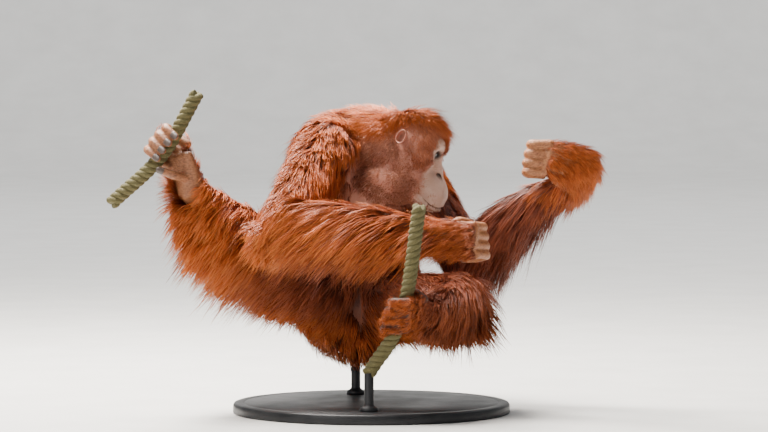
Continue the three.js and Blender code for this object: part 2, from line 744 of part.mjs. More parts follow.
// The coat of each piece. Hair runs from the shoulder and from the wrist to the elbow, down the back and
// towards the foot, and hangs longest under the limbs.
const onBack = ({ normal }) => normal.dot(v(-0.45, 0.85, 0)) > -0.15;
const trunkCoat = {
  toEnd: false,
  rows: 4,
  around: 8,
  short: 125,
  long: 100,
  width: 80,
  sag: 0.1,
  first: 0.16,
  last: 1,
  wanted: onBack,
};
const upperArmCoat = {
  toEnd: true,
  rows: 3,
  around: 5,
  short: 95,
  long: 110,
  width: 58,
  sag: 0.2,
  first: 0,
  last: 0.9,
};
const upperArmLeftCoat = { ...upperArmCoat, around: 4, long: 90, width: 64, sag: 0.15, first: 0.4 };
const forearmCoat = {
  toEnd: false,
  rows: 3,
  around: 5,
  short: 80,
  long: 135,
  width: 54,
  sag: 0.4,
  first: 0.02,
  last: 0.94,
};
const forearmLeftCoat = { ...forearmCoat, around: 4, short: 60, long: 105, sag: 0.35, first: 0.06 };
const thighCoat = { toEnd: true, rows: 3, around: 5, short: 70, long: 145, width: 58, sag: 0.45, first: 0.2 };
const thighLeftCoat = { ...thighCoat, rows: 2, around: 4, short: 60, long: 90, first: 0.35 };
const shankCoat = { toEnd: true, rows: 3, around: 5, short: 60, long: 140, width: 54, sag: 0.5, last: 0.98 };
const shankLeftCoat = { ...shankCoat, rows: 2, long: 75, width: 48, sag: 0.35 };
const coats = new Map([
  ['head', headLocks()],
  ['trunk', locksOn(trunk, trunkCoat)],
  ['upper_arm_right', locksOn(upperArmRight, upperArmCoat)],
  ['upper_arm_left', locksOn(upperArmLeft, upperArmLeftCoat)],
  ['forearm_right', locksOn(forearmRight, forearmCoat)],
  ['forearm_left', locksOn(forearmLeft, forearmLeftCoat)],
  ['thigh_right', locksOn(thighRight, thighCoat)],
  ['thigh_left', locksOn(thighLeft, thighLeftCoat)],
  ['shank_right', locksOn(shankRight, shankCoat)],
  ['shank_left', locksOn(shankLeft, shankLeftCoat)],
]);
const finished = [];
const coatCutters = [];
for (const [name, { solid }] of flesh) {
  const locks = coats.get(name) ?? [];
  if (locks.length === 0) {
    finished.push({ name, solid });
    continue;
  }
  const others = [...flesh].filter(([other]) => other !== name).map(([, { cutter }]) => cutter);
  const coat = joined(locks.map((each) => lock(each))).subtract(joined([...others, ...coatCutters]));
  coatCutters.push(joined(locks.map((each) => lock(each, GAP))));
  finished.push({ name, solid: largest(joined([solid, coat]).simplify(MERGE)) });
}

const looks = {
  coat: { color: 0xa6562c, roughness: 0.8 },
  skin: { color: 0x6b5548, roughness: 0.6 },
  eye: { color: 0x2a1a12, roughness: 0.15 },
  rope: { color: 0x7a7040, roughness: 0.9 },
  stand: { color: 0x26282b, roughness: 0.5, metalness: 0.3 },
};
const lookOf = (name) => {
  if (name.startsWith('stand_')) return 'stand';
  if (name.startsWith('rope_')) return 'rope';
  if (name.startsWith('eye_')) return 'eye';
  if (/^(hand|foot|ear|head)/.test(name)) return 'skin';
  return 'coat';
};

// The figure, with the middle of its base area at the origin and its lowest point at height 0
const figure = new THREE.Group();
for (const { name, solid } of finished) {
  const mesh = new THREE.Mesh(geometryOf(solid), new THREE.MeshStandardMaterial(looks[lookOf(name)]));
  mesh.name = name;
  figure.add(mesh);
}
const size = new THREE.Box3().setFromObject(figure);
const middle = size.getCenter(new THREE.Vector3());
figure.position.set(-middle.x, -middle.y, -size.min.z);

const orangutan = new THREE.Group();
orangutan.add(figure);
export default orangutan;
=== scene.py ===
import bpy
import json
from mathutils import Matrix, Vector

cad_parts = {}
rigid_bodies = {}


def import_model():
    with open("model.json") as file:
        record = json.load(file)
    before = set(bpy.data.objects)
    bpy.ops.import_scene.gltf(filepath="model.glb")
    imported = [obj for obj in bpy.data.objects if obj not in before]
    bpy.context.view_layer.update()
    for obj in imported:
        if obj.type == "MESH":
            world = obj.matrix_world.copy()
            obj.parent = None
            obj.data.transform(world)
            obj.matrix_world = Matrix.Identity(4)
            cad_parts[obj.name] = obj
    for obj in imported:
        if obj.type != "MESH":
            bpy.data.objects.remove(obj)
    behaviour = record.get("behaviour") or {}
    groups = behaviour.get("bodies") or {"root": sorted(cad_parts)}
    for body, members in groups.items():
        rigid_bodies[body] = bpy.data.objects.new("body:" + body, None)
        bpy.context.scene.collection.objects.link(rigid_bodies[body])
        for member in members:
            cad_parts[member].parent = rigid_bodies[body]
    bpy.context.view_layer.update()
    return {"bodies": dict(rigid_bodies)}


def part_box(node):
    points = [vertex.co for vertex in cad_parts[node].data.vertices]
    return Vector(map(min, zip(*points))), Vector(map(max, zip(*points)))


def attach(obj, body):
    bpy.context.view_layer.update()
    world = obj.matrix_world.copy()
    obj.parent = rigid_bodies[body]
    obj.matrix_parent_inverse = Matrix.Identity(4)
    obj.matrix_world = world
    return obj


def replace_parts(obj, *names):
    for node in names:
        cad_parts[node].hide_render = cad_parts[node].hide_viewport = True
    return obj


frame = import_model()

import json
import math

import bpy
import numpy as np

# The body under the coat: a loose skin over the trunk, neck, arms and legs.
# Each length is a tube carried along its bones, and all of them are melted into one skin.
# Measures are in mm on the animal's own axes: right in the picture, away from the camera, and up.
body_name = next(iter(frame["bodies"]))
base_low, base_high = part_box("stand_base")
base_middle = (np.array(base_low) + np.array(base_high)) / 2
base_centre = np.array([-24, -188, 0.0])
origin = base_middle * (1, 1, 0) - base_centre * 0.001

shoulder_right = np.array([-128, -112, 497.0])
elbow_right = np.array([-191, -332, 373.0])
wrist_right = np.array([116, -303, 343.0])
shoulder_left = np.array([92, 62, 474.0])
elbow_left = np.array([163, -50, 275.0])
wrist_left = np.array([368, -188, 440.0])
hip_right = np.array([-107, -42, 196.0])
knee_right = np.array([-257, -150, 335.0])
ankle_right = np.array([-366, -290, 432.0])
hip_left = np.array([-8, -32, 192.0])
knee_left = np.array([141, -190, 222.0])
ankle_left = np.array([78, -362, 196.0])
between_ears = np.array([55, -73, 517.0])

head_pitch = math.radians(30)
head_yaw = math.radians(12)
head_forward = np.array([
    math.cos(head_pitch) * math.cos(head_yaw),
    -math.cos(head_pitch) * math.sin(head_yaw),
    -math.sin(head_pitch),
])
head_left = np.array([math.sin(head_yaw), math.cos(head_yaw), 0.0])
head_up = np.cross(head_forward, head_left)
head_axes = np.array([head_forward, head_left, head_up])


def on_head(forward, left, up):
    """Point of the model that lies so far forward, left and up of the middle between the ears."""
    return between_ears + np.array([forward, left, up], float) @ head_axes


def in_head(points):
    """Forward, left and up of points, as three columns: their offsets from between the ears, on the head's
    own axes."""
    return (points - between_ears) @ head_axes.T


def to_room(points):
    """Metres in the shared frame, from mm on the animal's own axes."""
    return points * 0.001 + origin


def unit(rows):
    """Each row divided by its own length."""
    return rows / np.maximum(np.linalg.norm(rows, axis=-1, keepdims=True), 1e-9)


def through(stops, shares):
    """Smooth curve through the stops at shares from 0 to 1: the cubic whose slope at each stop is half the
    step between the stop's neighbours."""
    stops = np.asarray(stops, float)
    padded = np.vstack([2 * stops[:1] - stops[1:2], stops, 2 * stops[-1:] - stops[-2:-1]])
    spans = len(stops) - 1
    place = np.clip(shares, 0, 1) * spans
    span = np.minimum(place.astype(int), spans - 1)
    t = (place - span)[:, None]
    a, b, c, d = (padded[span + k] for k in range(4))
    return b + 0.5 * t * (c - a + t * (2 * a - 5 * b + 4 * c - d + t * (3 * b - a - 3 * c + d)))


def sections(stations, count):
    """Cross sections of a limb at even shares: centre, unit wide axis, unit deep axis, unit direction, and
    the two half widths, all read from smooth curves through the stations."""
    shares = np.linspace(0, 1, count)
    centres = through([s[0] for s in stations], shares)
    wide = through([[s[1]] for s in stations], shares)
    deep = through([[s[2]] for s in stations], shares)
    side = through([s[3] for s in stations], shares)
    along = unit(np.gradient(centres, axis=0))
    side = unit(side - (side * along).sum(1, keepdims=True) * along)
    return centres, side, np.cross(along, side), along, wide, deep


def tube(cuts, around, blunt=0.6):
    """Closed surface round the sections: each ring is centre + side wide cos a + front deep sin a, and each
    end is closed by shrinking rings of a quarter ellipse and a pole."""
    centres, side, front, along, wide, deep = cuts
    turn = np.linspace(0, 2 * math.pi, around, endpoint=False)
    bend = np.radians([75, 50, 25])[:, None]
    same = np.ones((3, 1))
    caps = []
    poles = []
    for end, sign, angles in ((0, -1, bend), (-1, 1, bend[::-1])):
        reach = min(wide[end, 0], deep[end, 0]) * blunt
        middle = centres[end] + sign * reach * np.sin(angles) * along[end]
        shrink = np.cos(angles)
        caps.append((middle, same * side[end], same * front[end], wide[end] * shrink, deep[end] * shrink))
        poles.append(centres[end] + sign * reach * along[end])
    rows = (caps[0], (centres, side, front, wide, deep), caps[1])
    middle, a, b, w, d = (np.concatenate([row[k] for row in rows]) for k in range(5))
    ring = (
        middle[:, None]
        + a[:, None] * w[:, None] * np.cos(turn)[None, :, None]
        + b[:, None] * d[:, None] * np.sin(turn)[None, :, None]
    )
    points = np.vstack([ring.reshape(-1, 3), poles])
    return points, *ring_faces(len(ring), around)


def ring_faces(rings, around):
    """Quads between neighbouring rings, and the triangles that join the first and last ring to the two poles
    that follow the rings' points."""
    k = np.arange(around)
    after = (k + 1) % around
    start = (np.arange(rings - 1) * around)[:, None]
    above = start + around
    quads = np.stack([start + k, start + after, above + after, above + k], -1).reshape(-1, 4)
    first = np.stack([np.full(around, rings * around), after, k], -1)
    last_row = (rings - 1) * around
    last = np.stack([np.full(around, rings * around + 1), last_row + k, last_row + after], -1)
    return quads, np.vstack([first, last])


def together(shapes):
    """Several shapes as one list of points, quads and triangles, the later ones' numbers moved on."""
    points, quads, triangles, count = [], [], [], 0
    for shape_points, shape_quads, shape_triangles in shapes:
        points.append(shape_points)
        quads.append(shape_quads + count)
        triangles.append(shape_triangles + count)
        count += len(shape_points)
    return np.vstack(points), np.vstack(quads), np.vstack(triangles)


def mesh_of(name, points, *faces):
    """Mesh in metres from points in mm and arrays of faces, shaded smooth."""
    mesh = bpy.data.meshes.new(name)
    faces = [f for f in faces if len(f)]
    corners = np.concatenate([f.ravel() for f in faces]).astype(np.int32)
    sizes = np.concatenate([np.full(len(f), f.shape[1]) for f in faces])
    mesh.vertices.add(len(points))
    mesh.vertices.foreach_set("co", to_room(points).astype(np.float32).ravel())
    mesh.loops.add(len(corners))
    mesh.loops.foreach_set("vertex_index", corners)
    mesh.polygons.add(len(sizes))
    mesh.polygons.foreach_set("loop_start", (np.cumsum(sizes) - sizes).astype(np.int32))
    mesh.update(calc_edges=True)
    mesh.shade_smooth()
    return mesh


def piece_of(name, mesh, material):
    """Object with this mesh and finish that rides on the animal."""
    made = bpy.data.objects.new(name, mesh)
    bpy.context.scene.collection.objects.link(made)
    mesh.materials.clear()
    mesh.materials.append(material)
    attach(made, body_name)
    return made


def finished(mesh, *steps):
    """The mesh after modifiers: each step is a kind of modifier and its settings."""
    made = bpy.data.objects.new("shape", mesh)
    bpy.context.scene.collection.objects.link(made)
    for kind, settings in steps:
        modifier = made.modifiers.new(kind, kind)
        for key, value in settings.items():
            setattr(modifier, key, value)
    shown = made.evaluated_get(bpy.context.evaluated_depsgraph_get())
    result = bpy.data.meshes.new_from_object(shown)
    bpy.data.objects.remove(made)
    return result


up = np.array([0, 0, 1.0])
trunk_stations = [
    (centre, wide, deep, (math.sin(math.radians(facing)), math.cos(math.radians(facing)), 0))
    for centre, wide, deep, facing in (
        ((-55, -24, 146), 74, 61, 78),
        ((-58, -12, 190), 110, 87, 74),
        ((-64, 10, 258), 126, 108, 68),
        ((-66, 16, 346), 133, 109, 64),
        ((-62, 12, 424), 135, 101, 60),
        ((-50, 4, 486), 117, 83, 58),
        ((-24, -22, 522), 57, 54, 50),
    )
]
neck_stations = [
    ((-40, -6, 486), 81, 62, head_left),
    ((-8, -34, 500), 72, 66, head_left),
    ((28, -62, 498), 58, 60, head_left),
]
throat_stations = [
    ((-12, -52, 438), 58, 44, head_left),
    ((34, -72, 440), 52, 46, head_left),
    ((72, -82, 432), 34, 32, head_left),
]


def bone(start, end, half_widths, side, bow=(0, 0, 0)):
    """Stations of a limb from joint to joint: even shares of the way, bowed by 4 s (1 - s) of the bow."""
    last = len(half_widths) - 1
    stations = []
    for i, (wide, deep) in enumerate(half_widths):
        share = i / last
        centre = start + (end - start) * share + 4 * share * (1 - share) * np.array(bow, float)
        stations.append((centre, wide, deep, side))
    return stations


arm = [(55, 53), (51, 50), (45, 45), (38, 39), (34, 36)]
forearm = [(33, 33), (38, 36), (37, 34), (30, 28), (26, 20.5)]
thigh = [(64, 64), (58, 58), (51, 53), (44, 46), (38, 40)]
shank = [(36, 37), (39, 39), (35, 36), (28, 29), (26, 25)]
limbs = {
    "trunk": trunk_stations,
    "neck": neck_stations,
    "throat": throat_stations,
    "upper_arm_right": bone(shoulder_right + (20, 24, 4), elbow_right, arm, up),
    "forearm_right": bone(elbow_right, wrist_right, forearm, up, (0, -16, 4)),
    "upper_arm_left": bone(shoulder_left + (-50, -6, -8), elbow_left, arm, (1, 0, 0)),
    "forearm_left": bone(elbow_left, wrist_left, forearm, (0, -0.7, 0.7), (-10, 0, 16)),
    "thigh_right": bone(hip_right + (26, 8, -4), knee_right, thigh, up),
    "shank_right": bone(knee_right, ankle_right, shank, up, (0, 0, -6)),
    "thigh_left": bone(hip_left + (-22, 10, -2), knee_left, thigh, up),
    "shank_left": bone(knee_left, ankle_left, shank, up, (4, 0, -4)),
}
trunk_skin = together([tube(sections(stations, 24), 32) for stations in limbs.values()])
trunk_mesh = finished(
    mesh_of("skin_body", *trunk_skin),
    ("REMESH", {"mode": "VOXEL", "voxel_size": 0.007, "use_smooth_shade": True}),
    ("SMOOTH", {"factor": 0.5, "iterations": 6}),
)

# Hands and feet: a padded palm or sole, four long fingers or toes bent at their joints, and a thumb or great
# toe. The bare skin is thick and swells at the joints; its fine wrinkles are in the finish.
finger_radius = 8.8
finger_spacing = 17.8
right_grip = np.array([-407, -300, 510.0])
left_grip = np.array([34, -392, 201.0])
right_rope_axis = unit(np.array([0.63, 0, 0.77]))
left_rope_axis = unit(np.array([0.27, -0.01, 0.96]))


def digit_stations(joints):
    """Stations down a finger, at even shares s of a curve through its joints: the radius goes as 1 - 0.17 s,
    and swells by a tenth at each joint but the tip."""
    shares = np.linspace(0, 1, 13)
    centres = through(joints, shares)
    joint_shares = np.linspace(0, 1, len(joints))
    swelling = np.exp(-(((shares[:, None] - joint_shares[:-1]) / 0.09) ** 2)).sum(1)
    radii = finger_radius * (1.0 - 0.17 * shares + 0.1 * swelling)
    side = np.cross(joints[1] - joints[0], joints[2] - joints[1])
    return [(c, r, r * 0.96, side) for c, r in zip(centres, radii)]


def palm_stations(start, end, side, half_widths, half_depths):
    """Stations of a palm or sole: its start, middle and end, each with its own half width and half depth."""
    middles = (start, (start + end) / 2, end)
    return [(c, w, d, side) for c, w, d in zip(middles, half_widths, half_depths)]


def four_fingers(joints, spread):
    """The joints of four fingers side by side: those of the middle, moved along the knuckles by -1.5 to 1.5
    spacings and shortened by a twentieth for each."""
    rows = []
    for share in (-1.5, -0.5, 0.5, 1.5):
        start = joints[0] + spread * share * finger_spacing
        rows.append(start + (joints - joints[0]) * (1 - 0.05 * abs(share)))
    return rows


def joints_from(start, steps):
    """Joints at these steps from the start."""
    return np.asarray(start, float) + np.array(steps, float)


def on_right_rope(left, away):
    """Point so far to the left and away from the right foot's grip, square to its rope."""
    return right_grip + np.array([-0.77, 0, 0.63]) * left + np.array([0, away, 0])


right_knuckles = np.array([170, -308, 337.0])
right_spread = unit(np.array([-0.1, 0.05, 1]))
left_knuckles = np.array([312, -222, 488.0])
left_spread = unit(np.array([0.16, -0.06, 1]))
palms = {
    "hand_right": palm_stations(
        wrist_right + (-16, 0, 3), right_knuckles, right_spread, (27, 32, 34), (19, 16, 13)),
    "wrist_left": palm_stations(
        wrist_left, np.array([382, -208, 470.0]), (0.7, 0, 0.7), (27, 30, 33), (26, 24, 20)),
    "hand_left": palm_stations(
        np.array([386, -208, 468.0]), left_knuckles, left_spread, (34, 36, 35), (20, 17, 13)),
    "foot_right": palm_stations(
        ankle_right + (4, 4, -6), on_right_rope(-28, 16), (0.3, -0.5, 0.6), (29, 33, 35), (26, 19, 14)),
    "foot_left": palm_stations(
        ankle_left + (4, 8, 2), left_grip + (10, -28, 0), up, (28, 34, 34), (24, 19, 13)),
}
right_toes = np.array([
    on_right_rope(-24, 18), on_right_rope(26, 33), on_right_rope(30, -10), on_right_rope(4, -25)])
left_toes = left_grip + np.array([(6, -27, 0), (-26, -21, 0), (-27, 14, 0), (-2, 25, 0)], float)
digits = {
    "hand_right": four_fingers(
        joints_from(right_knuckles, [(0, 0, 0), (22, 30, -4), (4, 62, -12), (-22, 58, -14)]), right_spread)
    + [joints_from(right_knuckles, [(-50, 8, 22), (-28, 30, 34), (-6, 42, 30)])],
    "hand_left": four_fingers(
        joints_from(left_knuckles, [(0, 0, 0), (-38, 6, 0), (-36, 46, -6), (-4, 52, -10)]), left_spread)
    + [joints_from(left_knuckles, [(46, 34, -14), (24, 52, -18), (2, 54, -26)])],
    "foot_right": four_fingers(right_toes, right_rope_axis)
    + [joints_from(ankle_right, [(-2, -14, 20), (-30, -32, 28), (-56, -36, 38)])],
    "foot_left": four_fingers(left_toes, left_rope_axis)
    + [joints_from(left_grip, [(40, -8, 30), (26, 14, 40), (4, 24, 44)])],
}
hand_shapes = [tube(sections(stations, 12), 28) for stations in palms.values()]
for joint_rows in digits.values():
    hand_shapes += [tube(sections(digit_stations(row), 30), 16, 0.9) for row in joint_rows]
hands_mesh = finished(
    mesh_of("skin_hands", *together(hand_shapes)),
    ("REMESH", {"mode": "VOXEL", "voxel_size": 0.0025, "use_smooth_shade": True}),
    ("SMOOTH", {"factor": 0.5, "iterations": 3}),
)

# The head: a domed skull, deep-set eyes, broad cheekbones and a swelling muzzle with a long upper lip.
# Its skin is one surface of rays from the middle of the head, with lids, lips, nostrils and fine folds in it.
eye_radius = 11.5
eye_place = np.array([46, 18.5, 1.0])
nostril_place = np.array([82, 12, -34.5])
nostril_radii = (9.0, 4.8, 6.4)
head_middle = np.array([30, 0, -15.0])
head_blend = 6.0
head_eggs = [
    ((2, 0, 4), (60, 54, 49)),
    ((33, 0, 17), (21, 34, 18)),
    ((54, 0, -8), (12, 10, 14)),
    ((66, 0, -28), (15, 14, 12)),
    ((68, 0, -60), (40, 36, 28)),
    ((90, 0, -70), (20, 31, 14)),
    ((80, 0, -92), (31, 28, 13)),
]
for side in (1, -1):
    head_eggs += [
        ((42, 18 * side, 19), (13, 17, 8)),
        ((38, 36 * side, -14), (22, 20, 19)),
        ((16, 38 * side, -38), (32, 16, 38)),
        ((46, 24 * side, -68), (36, 16, 26)),
    ]
head_dents = []
for side in (1, -1):
    head_dents += [((62, 19 * side, 1), 11, 10), ((78, 21 * side, -26), 9, 4)]


def egg_depth(points, at, radii):
    """How far points lie outside an egg, about: (its scaled distance less 1) times the least radius."""
    return (np.linalg.norm((points - at) / radii, axis=-1) - 1) * min(radii)


def head_depth(points):
    """How far outside the head: the soft least of the eggs' depths, deepened at the dents, then the least of
    that and the lids, then the greatest of that and what the eye slits and nostrils take away."""
    total = sum(np.exp(-egg_depth(points, np.array(at), radii) / head_blend) for at, radii in head_eggs)
    depth = -head_blend * np.log(total)
    for at, width, most in head_dents:
        far = np.linalg.norm(points - at, axis=-1) / width
        depth = depth + most * np.exp(-far * far)
    for side in (1, -1):
        eye = eye_place * (1, side, 1)
        lids = np.linalg.norm(points - eye, axis=-1) - (eye_radius + 1.4)
        depth = -1.2 * np.log(np.exp(-depth / 1.2) + np.exp(-lids / 1.2))
        slit = np.stack([
            (points[..., 0] - eye[0] - 10) / 12,
            (points[..., 1] - eye[1] - 1.5 * side) / 10.5,
            (points[..., 2] - eye[2] + 0.4) / 5.6,
        ], -1)
        depth = np.maximum(depth, -(np.linalg.norm(slit, axis=-1) - 1) * 5.6)
        nostril = egg_depth(points, nostril_place * (1, side, 1), nostril_radii)
        depth = np.maximum(depth, -nostril)
    return depth


def mouth_line(way):
    """For rays from the head's middle: the share s of the way to a corner of the mouth, the height above its
    line in mm, and 1 between the corners. The line runs 80 - 29 s s ahead, 28 s aside, 67 - 9 s s below."""
    forward = np.maximum(way[..., 0], 0.05)
    aside = way[..., 1] / forward
    share = 160 * aside / (28 + np.sqrt(784 + 9280 * aside**2))
    ahead = 80 - 29 * share**2
    above = way[..., 2] / forward * ahead + 67 - 9 * share**2
    on_mouth = np.where(way[..., 0] > 0.2, np.exp(-(np.abs(share) / 1.16) ** 10), 0)
    return share, above, on_mouth


def head_relief(way):
    """Small relief along each ray, in mm: a groove for the mouth between two swelling lips, arched folds
    under the eyes, and furrows that run down the muzzle."""
    share, above, on_mouth = mouth_line(way)
    lips = 2.4 * np.exp(-(((above - 6.5) / 4.5) ** 2)) + 2.2 * np.exp(-(((above + 7) / 4.5) ** 2))
    groove = 5.0 * np.exp(-((above / 1.5) ** 2))
    relief = on_mouth * (lips - groove)
    furrows = 0.25 * np.cos(share * 34) * np.exp(-(((above - 18) / 12) ** 2)) * on_mouth
    for side in (1, -1):
        offset = way * 38 - (eye_place * (1, side, 1) - head_middle)
        far = np.hypot(offset[..., 1], offset[..., 2])
        under = np.clip(-offset[..., 2] / 8, 0, 1) * np.exp(-(((far - 19) / 8) ** 2))
        relief = relief + np.where(way[..., 0] > 0.1, 0.7 * under * np.cos(far * 1.75), 0)
    return relief + furrows


def head_surface(way):
    """Points of the head's skin along unit rays from its middle: the outermost crossing found by steps of
    2 mm, then by halving, with the relief added."""
    reaches = np.linspace(150, 12, 70)
    found = np.full(way.shape[:-1], reaches[-1])
    still = np.ones(way.shape[:-1], bool)
    for reach in reaches:
        inside = head_depth(head_middle + way * reach) < 0
        found = np.where(still & inside, reach, found)
        still &= ~inside
    low, high = found, found + 2.1
    for _ in range(12):
        middle = (low + high) / 2
        inside = head_depth(head_middle + way * middle[..., None]) < 0
        low = np.where(inside, middle, low)
        high = np.where(inside, high, middle)
    return head_middle + way * (low + head_relief(way))[..., None]


def head_ways(polar, turn):
    """Unit rays from an angle off the muzzle's axis and a turn round it, as forward, left and up."""
    tilt = 0.45
    ahead, left, high = np.cos(polar), np.sin(polar) * np.sin(turn), np.sin(polar) * np.cos(turn)
    forward = ahead * math.cos(tilt) + high * math.sin(tilt)
    return np.stack([forward, left, high * math.cos(tilt) - ahead * math.sin(tilt)], -1)


head_rings = 150
head_around = 230
muzzle_crowding = 1.35
ring_angles = math.pi * (np.arange(1, head_rings) / head_rings) ** muzzle_crowding
turn_angles = np.linspace(0, 2 * math.pi, head_around, endpoint=False)
head_grid = head_ways(ring_angles[:, None], turn_angles[None, :]).reshape(-1, 3)
head_poles = head_ways(np.array([0, math.pi]), np.zeros(2))
head_points = head_surface(np.vstack([head_grid, head_poles]))
head_mesh = mesh_of(
    "skin_head", between_ears + head_points @ head_axes, *ring_faces(head_rings - 1, head_around))

# The ears: small thin cups of gristle and bare skin close to the head, with a rolled rim and a fold inside.
# Each stands out of the head's skin behind the cheekbone, and its foot is fused to it.
ear_place = np.array([-11, 61.5, 2.0])
ear_half_length = 9.5
ear_half_height = 14
ear_around = 40


def ear_shape(side):
    """Closed cup: rings run from the middle of the back out to the rim and in again to the bottom of the
    bowl; ring radius and depth follow a profile, and the outline is an egg taller than wide."""
    turn = np.linspace(0, 2 * math.pi, ear_around, endpoint=False)
    radius = np.array([0.35, 0.7, 0.93, 1.03, 1.04, 0.97, 0.86, 0.78, 0.7, 0.45, 0.2])
    height = np.array([-8, -5.5, -1.5, 2.5, 4.6, 5.2, 4.2, 1.2, -1.5, -4.5, -5.0])
    fold = 1.8 * np.exp(-(((radius[:, None] - 0.55) / 0.16) ** 2)) * np.clip(np.cos(turn - 2.6), 0, 1)
    fold[:6] = 0
    ahead = radius[:, None] * np.cos(turn) * ear_half_length
    high = radius[:, None] * np.sin(turn) * (ear_half_height + 1.3 * np.sin(turn))
    out = height[:, None] + fold + 2.2 * np.cos(turn) * (radius[:, None] > 0.6)
    ring = np.stack([ahead - 0.3 * out, out + 0 * ahead, high], -1)
    points = np.vstack([ring.reshape(-1, 3), [(0, -8.6, 0), (0, -5.2, 0)]])
    quads, triangles = ring_faces(len(radius), ear_around)
    placed = (ear_place + points) * (1, side, 1)
    if side > 0:
        quads = quads[:, ::-1]
        triangles = triangles[:, ::-1]
    return between_ears + placed @ head_axes, quads, triangles


ears_mesh = mesh_of("skin_ears", *together([ear_shape(1), ear_shape(-1)]))

# All the flesh in one skin: the body, then the head, hands, feet and ears are fused to it without a seam.
# Its colours follow the places: pale muzzle and temples, darker lids, brown hands and soles, a mauve
# breast and neck, and red brown under the coat. Painted shade darkens the left foot and a little of the
# right, paints the eye slits, nostrils, mouth and ear bowls near black, and darkens the skin under the shaded
# coat.
skin_mesh = trunk_mesh
for other in (head_mesh, hands_mesh, ears_mesh):
    tool = bpy.data.objects.new("joined_on", other)
    bpy.context.scene.collection.objects.link(tool)
    skin_mesh = finished(skin_mesh, ("BOOLEAN", {"operation": "UNION", "solver": "MANIFOLD", "object": tool}))
    bpy.data.objects.remove(tool)
skin_mesh.name = "skin"
print("skin faces", len(skin_mesh.polygons))


def points_of(mesh):
    """The mesh's points in mm on the animal's axes."""
    flat = np.empty(len(mesh.vertices) * 3, np.float32)
    mesh.vertices.foreach_get("co", flat)
    return (flat.reshape(-1, 3) - origin) * 1000.0


def step_up(values, low, high):
    """Smooth rise from 0 at low to 1 at high: 3 t t - 2 t t t of the share t of the way."""
    t = np.clip((values - low) / (high - low), 0, 1)
    return t * t * (3 - 2 * t)


def give(mesh, name, values, domain="POINT"):
    """Store one number for each point or corner."""
    kind = mesh.attributes.new(name, "FLOAT", domain)
    kind.data.foreach_set("value", np.asarray(values, np.float32).ravel())


def face_distance(points):
    """1 on the rim of the bare face, less within it: the least of the scaled distances from the middles of
    three eggs, one round the muzzle and one round each eye and temple."""
    local = in_head(points)
    local[:, 1] = np.abs(local[:, 1])
    muzzle = np.linalg.norm((local - (78, 0, -56)) / (50, 46, 62), axis=-1)
    temple = np.linalg.norm((local - (52, 24, 6)) / (25, 20, 29), axis=-1)
    return np.minimum(muzzle, temple)


def face_share(points):
    """1 on the bare face, 0 on the haired head, with a soft edge between."""
    return 1 - step_up(face_distance(points), 0.9, 1.1)


skin_points = points_of(skin_mesh)
skin_local = in_head(skin_points)
mirrored_local = np.stack([skin_local[:, 0], np.abs(skin_local[:, 1]), skin_local[:, 2]], 1)
eye_far = np.linalg.norm(mirrored_local - eye_place, axis=1)
lid_share = 1 - step_up(eye_far, 12.5, 17.5)
# Painted shade: the eye slits, nostrils, mouth line and ear bowls are painted near black, as shade in
# hollows.
slit_middle = eye_place + (10, 1.5, -0.4)
slit_far = np.linalg.norm((mirrored_local - slit_middle) / (15, 15, 9), axis=1)
recess_shade_share = 1 - step_up(slit_far, 0.75, 1.45)
nostril_far = np.linalg.norm((mirrored_local - nostril_place) / nostril_radii, axis=1)
recess_shade_share = np.maximum(recess_shade_share, 1 - step_up(nostril_far, 0.95, 1.3))
_, above_mouth, on_mouth = mouth_line(unit(skin_local - head_middle))
near_muzzle = np.linalg.norm((skin_local - (78, 0, -66)) / (44, 42, 40), axis=1) < 1
recess_shade_share = np.maximum(recess_shade_share, on_mouth * near_muzzle * np.exp(-((above_mouth / 2.2) ** 2)))
lip_share = on_mouth * near_muzzle * np.exp(-(((above_mouth + 16) / 14) ** 4))
bowl_far = np.linalg.norm((mirrored_local - ear_place) / (7.5, 6, 11), axis=1)
recess_shade_share = np.maximum(recess_shade_share, 0.8 * (1 - step_up(bowl_far, 0.5, 1.1)))
palm_middles = np.vstack([
    *[through([s[0] for s in stations], np.linspace(0, 1, 9)) for stations in palms.values()],
    *[row for joint_rows in digits.values() for row in joint_rows],
])
far_off = 1000.0
hand_far = np.full(len(skin_points), far_off)
for middle in palm_middles:
    hand_far = np.minimum(hand_far, np.linalg.norm(skin_points - middle, axis=1))
give(skin_mesh, "face", face_share(skin_points))
give(skin_mesh, "lip", lip_share)
give(skin_mesh, "lid", lid_share)
give(skin_mesh, "recess_shade", recess_shade_share)
give(skin_mesh, "hand", 1 - step_up(hand_far, 34, 48))
# Painted shade: the left foot, and a little of the right one, are darkened as if in shade.
left_foot_shade = 1 - step_up(np.linalg.norm(skin_points - left_grip, axis=1), 90, 120)
right_foot_shade = 1 - step_up(np.linalg.norm(skin_points - right_grip, axis=1), 60, 150)
give(skin_mesh, "foot", np.maximum(left_foot_shade, 0.3 * right_foot_shade))


